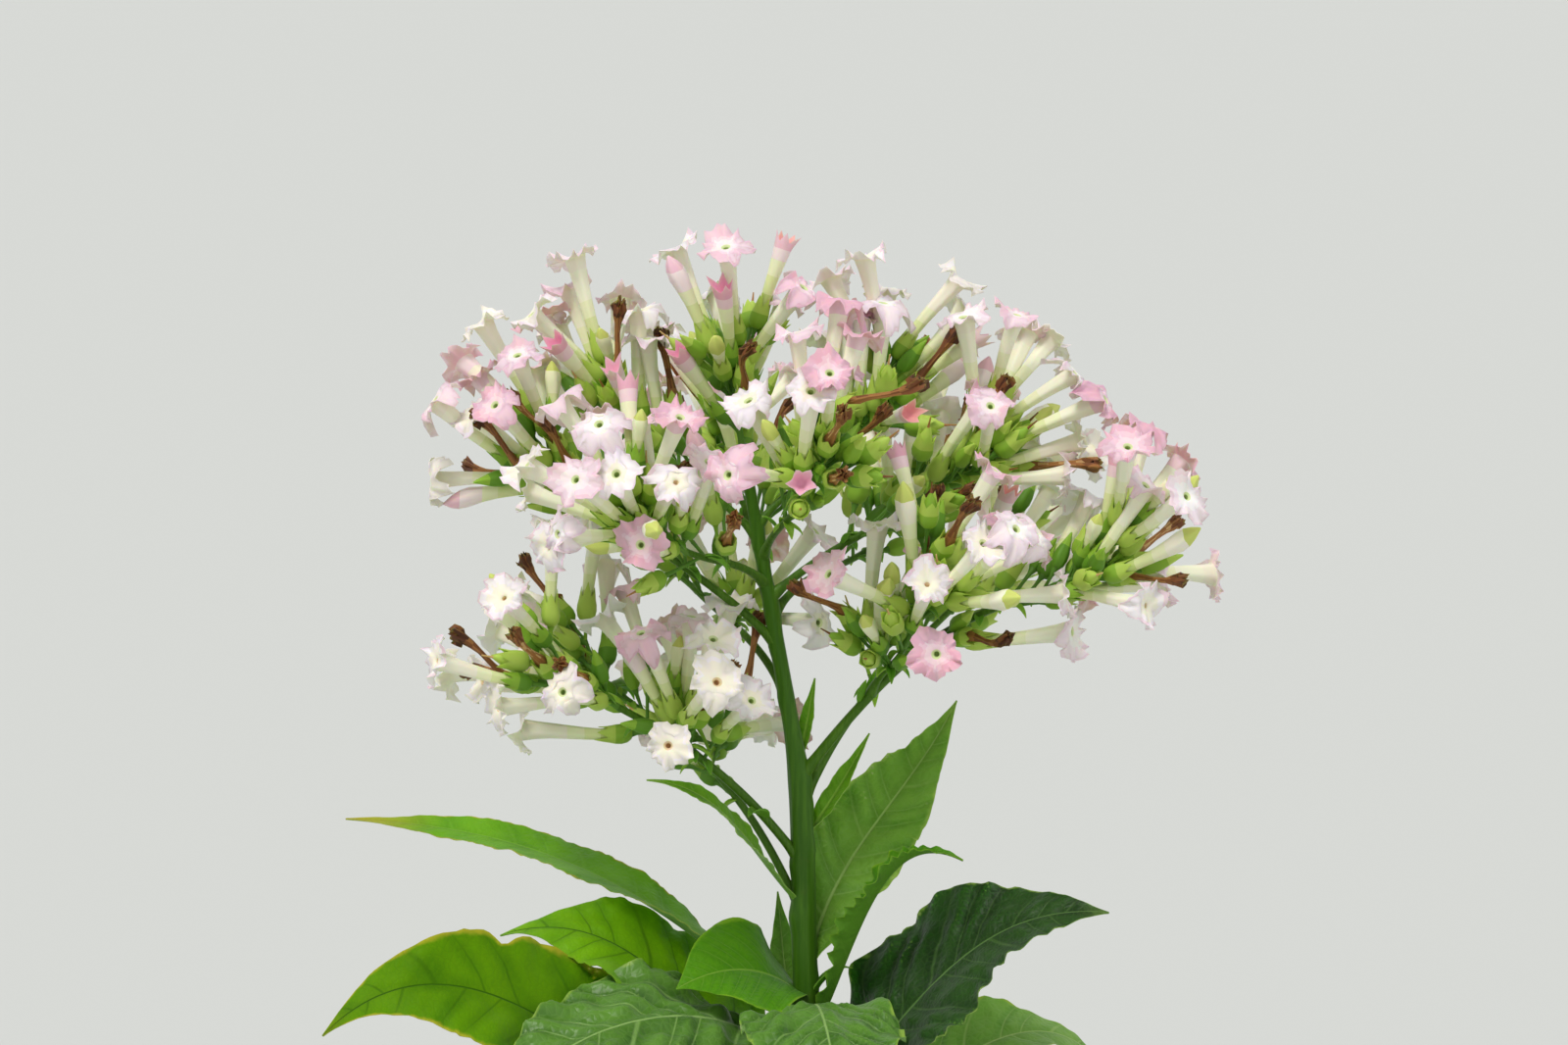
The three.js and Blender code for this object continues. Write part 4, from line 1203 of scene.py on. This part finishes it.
def open_shape(seed):
    """An open flower: a slim tube that widens under the limb, and a limb of five broad lobes, each with
    a point, tilted, saddled, turned back and ruffled by sums of sines, closed down inside the throat."""
    random = np.random.default_rng(seed)
    lobe_columns = len(LOBE_RIM)
    columns = lobe_columns * LOBES
    turn = around(columns)
    lobe = 0.5 - 0.5 * np.cos(LOBES * turn)
    rim = np.tile(LOBE_RIM, LOBES) * even(random, *LOBE_SIZES, lobe_columns)
    rim += random.uniform(-RAGGED_RIM, RAGGED_RIM, columns)
    phases = random.uniform(0, 2 * np.pi, 6)
    rim *= 1 + LOPSIDED * np.cos(turn + phases[5])
    turned_back = random.choice(TURNED_BACK, p=TURNED_BACK_CHANCES)
    rise = sum(size * np.cos(count * turn + phase) for (count, size), phase in zip(TILTS, phases))
    rise -= turned_back * (0.3 + lobe * even(random, *LOBE_HANG, lobe_columns))
    rise += (lobe - 0.5) * even(random, *LOBE_BOW, lobe_columns)
    ruffle = sum(size * np.sin(count * turn + phase) for (count, size), phase in zip(RUFFLES, phases[3:]))
    ruffle += random.uniform(-1.0, 1.0, columns)
    heights = [np.full(columns, z, float) for z, _ in OPEN_TUBE]
    radii = [r * (1 + RIBBED * np.cos(LOBES * turn)) for _, r in OPEN_TUBE]
    for shares, inner_radius, depth, lift in LIMB_SIDES:
        for share in shares:
            hollow = depth * (1 - share) ** 2
            heights.append(LIMB_HEIGHT - hollow + rise * share**1.5 + ruffle * share**2.6 + lift)
            radii.append(mix(inner_radius, rim, share))
    heights += [np.full(columns, z) for z, _ in OPEN_THROAT]
    radii += [np.full(columns, r) for _, r in OPEN_THROAT]
    roles = banded(
        len(heights), columns, *FOOT_BANDS, (3, TUBE_ROLE), (5, NECK_ROLE), (8, BACK_ROLE),
        (19, THROAT_ROLE), (20, EYE_ROLE),
    )
    streak = 0.06 * np.cos(LOBES * turn) + random.uniform(-0.05, 0.05, columns)
    for row, share in enumerate(LIMB_FRONT[1:], start=FRONT_ROW):
        shade = share + 0.05 + streak
        roles[row] = SHADE_ROLE + np.clip(((1 - shade) * SHADE_STEPS).astype(int), 0, SHADES - 1)
    corolla = skin(turned(np.array(heights), np.array(radii)), roles)
    return stalked(random, [calyx_shape(random), corolla], bend=(1, 7), wriggle=(0, 0.8))


def half_open_shape(seed):
    """A flower about to open: a wider tube whose five pointed lobes stand apart round a closed throat."""
    random = np.random.default_rng(seed)
    lobe = np.tile(YOUNG_LOBE, LOBES)
    curl = even(random, *CURLS, len(YOUNG_LOBE)) * lobe
    height = np.array([z + lobe * up for z, _, up, _ in HALF_OPEN_ROWS])
    radius = np.array([r + curl * out for _, r, _, out in HALF_OPEN_ROWS])
    bands = (*FOOT_BANDS, (3, NECK_ROLE), (4, BACK_ROLE), (6, SHADE_ROLE))
    corolla = skin(turned(height, radius), banded(len(height), ROUND, *bands))
    return stalked(random, [calyx_shape(random), corolla], bend=(2, 8))


def closed_shape(seed, rows, wound, wound_from, girth, bend):
    """A closed bud: a tube on rows of height and radius, whose end is wound round itself to a point. A
    club is short and swells at its end. A long bud opens the next day: it is pale and pointed."""
    random = np.random.default_rng(seed)
    height, radius = split_rows(rows)
    depth = wound * np.clip((height - wound_from) / 10, 0, 1)
    radius = radius * (1 + depth * np.cos(LOBES * around(ROUND) + height * 0.15))
    roles = banded(len(rows), ROUND, *FOOT_BANDS, (3, NECK_ROLE), (5, BACK_ROLE))
    closed = skin(turned(height, radius), roles)
    return stalked(random, [calyx_shape(random, girth, teeth=5.2), closed], bend)


def green_bud_shape(seed):
    """A young bud: the calyx is still shut, its five teeth wound to one point."""
    random = np.random.default_rng(seed)
    height, girth = split_rows(GREEN_BUD_ROWS)
    radius = girth * (1 + 0.09 * np.cos(LOBES * around(ROUND) + (height - 8) * 0.06))
    roles = banded(len(height), ROUND, (0, CALYX_ROLE), (5, TEETH_ROLE))
    return stalked(random, [skin(turned(height, radius), roles)], bend=(2, 12), longer=4.0)


def withered_shape(seed):
    """A spent flower: a full calyx round the seed case, a shrunk tube in lengthwise folds that widens
    again towards a crumpled end."""
    random = np.random.default_rng(seed)
    turn = around(ROUND)
    height, girth = split_rows(WITHERED_ROWS)
    grid = (len(height), ROUND)
    end = np.clip((height - 40) / 6, 0, 1)
    fold_phase = LOBES * turn + random.uniform(0, 6) + height * random.uniform(-0.05, 0.05)
    folds = mix(0.2, 0.34, end) * np.cos(fold_phase)
    lumps = random.uniform(-1, 1, grid) * mix(0.1, 0.3, end)
    lumps = (lumps + np.roll(lumps, 1, axis=1)) / 1.5
    radius = girth * (1 + folds + lumps) * random.uniform(0.75, 1.0)
    height = height + end * random.uniform(-2.0, 2.4, grid)
    shade = random.random((len(height) - 1, ROUND)) + 0.25 * np.cos(LOBES * turn)
    roles = np.where(shade > 0.72, NECK_ROLE, TUBE_ROLE)
    roles[:2] = FOOT_BANDS[0][1]
    roles[7:] = np.where(shade[7:] < 0.35, BACK_ROLE, SHADE_ROLE)
    calyx = calyx_shape(random, girth=1.1, teeth=5.0, spread=0.7)
    parts = [calyx, skin(turned(height, radius), roles)]
    return stalked(random, parts, bend=(3, 16), wriggle=(0.5, 3.6), longer=2.5)


def seed_case_shape(seed):
    """A seed case in its calyx: a smooth pointed egg that fills the teeth, with a dry thread on top."""
    random = np.random.default_rng(seed)
    height, girth = split_rows(SEED_CASE_ROWS)
    radius = girth * (1 + RIBBED * np.cos(2 * around(CASE_COLUMNS)))
    roles = banded(len(height), CASE_COLUMNS, (0, TUBE_ROLE), (5, BACK_ROLE))
    case = skin(turned(height, radius), roles)
    calyx = calyx_shape(random, girth=1.15, teeth=5.0, spread=1.0)
    return stalked(random, [calyx, case], bend=(1, 6), longer=5.0)


# Tones for the roles: stalk, calyx, teeth, three for the foot of the tube, tube, neck, back, five
# shades from the rim inwards, throat, eye.
def tone_row(names):
    """The numbers of some tones. The last goes on for the roles that the flower doesn't have."""
    numbers = [TONE_NAMES.index(name) for name in names.split()]
    return numbers + numbers[-1:] * (EYE_ROLE + 1 - len(numbers))


FEET = " tube_green tube_mid tube_light "
GREEN_PARTS = "twig calyx calyx_light" + FEET
DARK_PARTS = "twig calyx_dark calyx" + FEET
LIGHT_PARTS = "calyx calyx_light calyx_light" + FEET
LIME_PARTS = "twig calyx calyx_light lime tube_mid tube_light "
SPENT_PARTS = "twig calyx calyx_light bronze bronze bronze "
CASE_PARTS = "twig calyx calyx_light calyx_light calyx_light calyx_light "
# Kinds of flower: the piece, its shape with what the shape is told, and its rows of tones.
KINDS = {
    "open": ("open_flowers", open_shape, (), (
        GREEN_PARTS + "tube cream faint blush blush blush faint pale throat eye",
        LIGHT_PARTS + "tube pale blush pink pink blush blush faint throat eye",
        DARK_PARTS + "tube cream faint blush faint faint pale pale throat eye",
        GREEN_PARTS + "tube faint pink pink pink pink blush faint throat eye",
        LIGHT_PARTS + "tube cream pale faint pale pale white white throat eye",
        GREEN_PARTS + "tube cream white pale white white white cream throat eye",
        LIGHT_PARTS + "tube cream cream pale white cream cream cream throat eye",
        DARK_PARTS + "cream cream white faint white white cream cream cream sand",
        GREEN_PARTS + "cream cream cream cream white cream cream cream sand tan",
    )),
    "half_open": ("half_open_flowers", half_open_shape, (), (
        GREEN_PARTS + "tube pale blush salmon",
        DARK_PARTS + "tube faint pink rose",
        LIGHT_PARTS + "tube pale faint pink",
    )),
    "long_bud": ("long_buds", closed_shape, (LONG_BUD_ROWS, 0.12, 38, 1.0, (3, 9)), (
        GREEN_PARTS + "tube cream lime",
        LIGHT_PARTS + "tube pale blush",
        LIGHT_PARTS + "tube_light tube lime",
    )),
    "club_bud": ("club_buds", closed_shape, (CLUB_BUD_ROWS, 0.1, 15, 0.95, (2, 10)), (
        LIME_PARTS + "tube_light lime lime",
        DARK_PARTS + "tube tube_light lime",
    )),
    "green_bud": ("green_buds", green_bud_shape, (), (
        "twig calyx_dark calyx",
        "twig calyx calyx_light",
    )),
    "withered": ("withered_flowers", withered_shape, (), (
        SPENT_PARTS + "bronze brown dark_brown brown",
        SPENT_PARTS + "brown bronze brown dark_brown",
        SPENT_PARTS + "bronze tan bronze brown",
    )),
    "seed_case": ("seed_cases", seed_case_shape, (), (
        CASE_PARTS + "calyx calyx brown",
        CASE_PARTS + "calyx_light calyx_light bronze",
        "calyx " + "calyx_light " * 7 + "tan",
    )),
}
# What a flower's stage becomes, with the chance up to which each kind is taken.
STAGE_KINDS = {
    "open": (("open", 1.0),),
    "opening": (("half_open", 0.45), ("long_bud", 1.0)),
    "bud": (("club_bud", 0.5), ("green_bud", 1.0)),
    "withered": (("withered", 0.72), ("seed_case", 1.0)),
    "case": (("seed_case", 0.6), ("green_bud", 1.0)),
}
CHOICE_SEED = 9977
FLOWER_SIZES = (0.93, 1.06)
SHAPE_SEED, SHAPE_SEED_STEP = 500, 37
OPEN_VARIANTS = 9
OTHER_VARIANTS = 5

choice = seeded(CHOICE_SEED)
kinds = {kind: [] for kind in KINDS}
for grown in grown_heads:
    for point, direction, stage in grown["flowers"]:
        kind = by_chance(choice(), STAGE_KINDS[stage])
        tone = int(choice() * len(KINDS[kind][-1]))
        size = mix(*FLOWER_SIZES, choice())
        kinds[kind].append((point, direction, 2 * math.pi * choice(), size, tone))

flower_nodes = [f"flowers_{head[0]}" for head in heads]


def make_flowers(piece_name, flowers, shape_of, details, tone_rows, variants):
    """One joined piece of all flowers of a kind, dealt out in turn to the variants of its shape."""
    batches = []
    for variant in range(variants):
        dealt = flowers[variant::variants]
        if dealt:
            points, directions, turns, sizes, tones = zip(*dealt)
            rows = [tone_row(tone_rows[tone]) for tone in tones]
            shape = shape_of(SHAPE_SEED + SHAPE_SEED_STEP * variant + len(piece_name), *details)
            batches.append(planted(shape, points, directions, turns, sizes, rows))
    make_piece(
        piece_name, joined(batches), FLOWER_FINISHES, flower_nodes, crease=PETAL_CREASE,
    )


for kind, (piece_name, *making) in KINDS.items():
    if kind == "open":
        make_flowers(piece_name + "_a", kinds[kind][::2], *making, OPEN_VARIANTS)
        make_flowers(piece_name + "_b", kinds[kind][1::2], *making, OPEN_VARIANTS)
    else:
        make_flowers(piece_name, kinds[kind], *making, OTHER_VARIANTS)


# Twigs of the heads, with a small drooping bract at the foot of each side twig, and larger bracts:
# limb, share along it or height on the stem, heading, reach, rise, slopes at root and tip, half width.
BOUGH_BRACTS = (
    ("left_low", 0.22, 236, 15, 4, (60, -60), 3.4),
    ("left_low", 0.74, 300, 10, 9, (60, 20), 1.8),
    ("right_low", 0.3, 290, 9, 14, (70, 40), 1.7),
    ("right_low", 0.34, 60, 8, 12, (70, 50), 1.5),
    ("right_low", 0.7, 320, 12, -6, (10, -50), 2.0),
    ("left_high", 0.5, 250, 10, 5, (50, -10), 1.6),
    ("right_high", 0.5, 300, 9, 7, (50, 0), 1.6),
    ("front", 0.5, 200, 8, 6, (50, 0), 1.5),
    ("stem", 889, 332, 17, 24, (74, 30), 2.2),
    ("stem", 893, 14, 22, 16, (66, -20), 2.6),
    ("stem", 886, 230, 14, 18, (74, 20), 2.0),
)
TWIG_TONE = TONE_NAMES.index("twig")
BRACT_TONE, LIGHT_BRACT_TONE = TONE_NAMES.index("calyx_dark"), TONE_NAMES.index("calyx")
DARK_BRACT_CHANCE = 0.6
SMALL_BRACT_LENGTHS = (7, 15)
SMALL_BRACT_DROOPS = (10, 60)
SMALL_BRACT_SLOPES = (20, -70)
SMALL_BRACT_HALF = 1.9
TWIG_STEPS, TWIG_COLUMNS = 6, 8
NODE_SWELLING, NODE_WIDTH = 0.28, 0.16
REACH_INTO_LIMB = 2.5
UPRIGHT_TWIG = 0.8
# A bract's section: the columns' places across it, and how far they lift.
BRACT_ACROSS = np.array([-1, 0, 1, 1, 0, -1])
BRACT_LIFT = np.array([0.35, -0.2, 0.35, 0.05, -0.5, 0.05])
BRACT_ROWS = 9


def twig_shape(points, radii, reach_back):
    """A twig's skin: a round tube along its points, rounded at its corners and thicker at each node."""
    first = points[0] - unit(points[1] - points[0]) * reach_back
    corners = np.concatenate([first[None], points[1:]])
    number = np.arange(len(corners))
    steps = np.linspace(0, number[-1], number[-1] * TWIG_STEPS + 1)
    path = np.stack([np.interp(steps, number, corners[:, axis]) for axis in range(3)], -1)
    path[1:-1] = (path[:-2] + 2 * path[1:-1] + path[2:]) / 4
    swollen = 1 + NODE_SWELLING * hump(steps - np.round(steps), NODE_WIDTH)
    chord = unit(points[-1] - points[0])
    reference = ACROSS_X if abs(chord[2]) > UPRIGHT_TWIG else UP
    radius = mix(*radii, steps / steps[-1]) * swollen
    return skin(tube_rings(path, radius, reference, TWIG_COLUMNS), TWIG_TONE)


def bract_shape(point, heading, reach, rise, slopes, wide, tone):
    """A small bract: a thin pointed blade on a curve with two slopes, half its width a sine."""
    line = growth_line(point, heading, reach, rise, *slopes)
    share = np.linspace(0, 1, BRACT_ROWS)
    middle = curve_points(line, share)[:, None]
    side = np.broadcast_to(outward(heading - 90, 0), (BRACT_ROWS, 3))
    normal = unit(np.cross(side, curve_slopes(line, share)))[:, None]
    half = (0.25 + wide * np.sin(np.pi * share**0.8))[:, None]
    across, lift = (BRACT_ACROSS * half)[..., None], (BRACT_LIFT * half)[..., None]
    return skin(middle + side[:, None] * across + normal * lift, tone)


shapes = []
for grown in grown_heads:
    for twig_number, (points, radii) in enumerate(grown["twigs"]):
        shapes.append(twig_shape(points, radii, 0.0 if twig_number else REACH_INTO_LIMB))
        for place in points[:1] if twig_number else points[1:]:
            tone = BRACT_TONE if choice() < DARK_BRACT_CHANCE else LIGHT_BRACT_TONE
            length = mix(*SMALL_BRACT_LENGTHS, choice())
            reach = length * math.cos(math.radians(mix(*SMALL_BRACT_DROOPS, choice())))
            heading = 360 * choice()
            shapes.append(bract_shape(
                place, heading, reach, -length / 2, SMALL_BRACT_SLOPES, SMALL_BRACT_HALF, tone,
            ))
for bough_name, share, *bract_sizes in BOUGH_BRACTS:
    place = stem_point(share) if bough_name == "stem" else curve_points(line_by_name[bough_name], share)
    shapes.append(bract_shape(place, *bract_sizes, BRACT_TONE))
make_piece("head_twigs", joined(shapes), FLOWER_FINISHES, flower_nodes)


# Floor, light and camera.
FLOOR_HALF = 60.0
FLOOR_SHADE = (0.6, 0.61, 0.59, 1.0)
SKY_SHADE, SKY_STRENGTH = (0.97, 0.99, 1.0, 1.0), 0.62
# Lights: name, heading and steepness that it falls from, strength, width in degrees, shade.
LIGHTS = (
    ("key", 238, 58, 1.8, 20, (1.0, 0.98, 0.94)),
    ("fill", 320, 24, 0.35, 60, (0.95, 0.98, 1.0)),
)
CAMERA_TARGET = Vector((-0.0079, 0.0, 1.1145))
CAMERA_DISTANCE = 2.2
CAMERA_DOWN = 8.5
SENSOR_WIDTH = 36.0
SHOWN_WIDTH = 0.704
NEAREST, FARTHEST = 0.05, 200.0

scene = bpy.context.scene
floor_mesh = bpy.data.meshes.new("floor")
floor_corners = [(x * FLOOR_HALF, y * FLOOR_HALF, 0) for x, y in ((-1, -1), (1, -1), (1, 1), (-1, 1))]
floor_mesh.from_pydata(floor_corners, [], [(0, 1, 2, 3)])
floor = put_in_scene("floor", floor_mesh)
floor_finish, _, floor_shader = start_finish("floor_pale", 0.9)
floor_shader.inputs["Base Color"].default_value = FLOOR_SHADE
floor_mesh.materials.append(floor_finish)

scene.world = bpy.data.worlds.new("soft_room")
scene.world.use_nodes = True
sky = scene.world.node_tree.nodes["Background"].inputs
sky["Color"].default_value = SKY_SHADE
sky["Strength"].default_value = SKY_STRENGTH

for name, heading, steepness, strength, width, shade in LIGHTS:
    light = bpy.data.lights.new(name, "SUN")
    light.energy = strength
    light.angle = math.radians(width)
    light.color = shade
    lamp = put_in_scene(name, light)
    lamp.rotation_mode = "QUATERNION"
    lamp.rotation_quaternion = Vector(outward(heading, steepness)).to_track_quat("Z", "Y")

camera_data = bpy.data.cameras.new("camera")
camera_data.sensor_width = SENSOR_WIDTH
camera_data.lens = SENSOR_WIDTH * CAMERA_DISTANCE / SHOWN_WIDTH
camera_data.clip_start = NEAREST
camera_data.clip_end = FARTHEST
camera = put_in_scene("camera", camera_data)
back = Vector(outward(270, CAMERA_DOWN))
camera.location = CAMERA_TARGET + back * CAMERA_DISTANCE
camera.rotation_mode = "QUATERNION"
camera.rotation_quaternion = back.to_track_quat("Z", "Y")
scene.camera = camera
scene.view_settings.view_transform = "Standard"
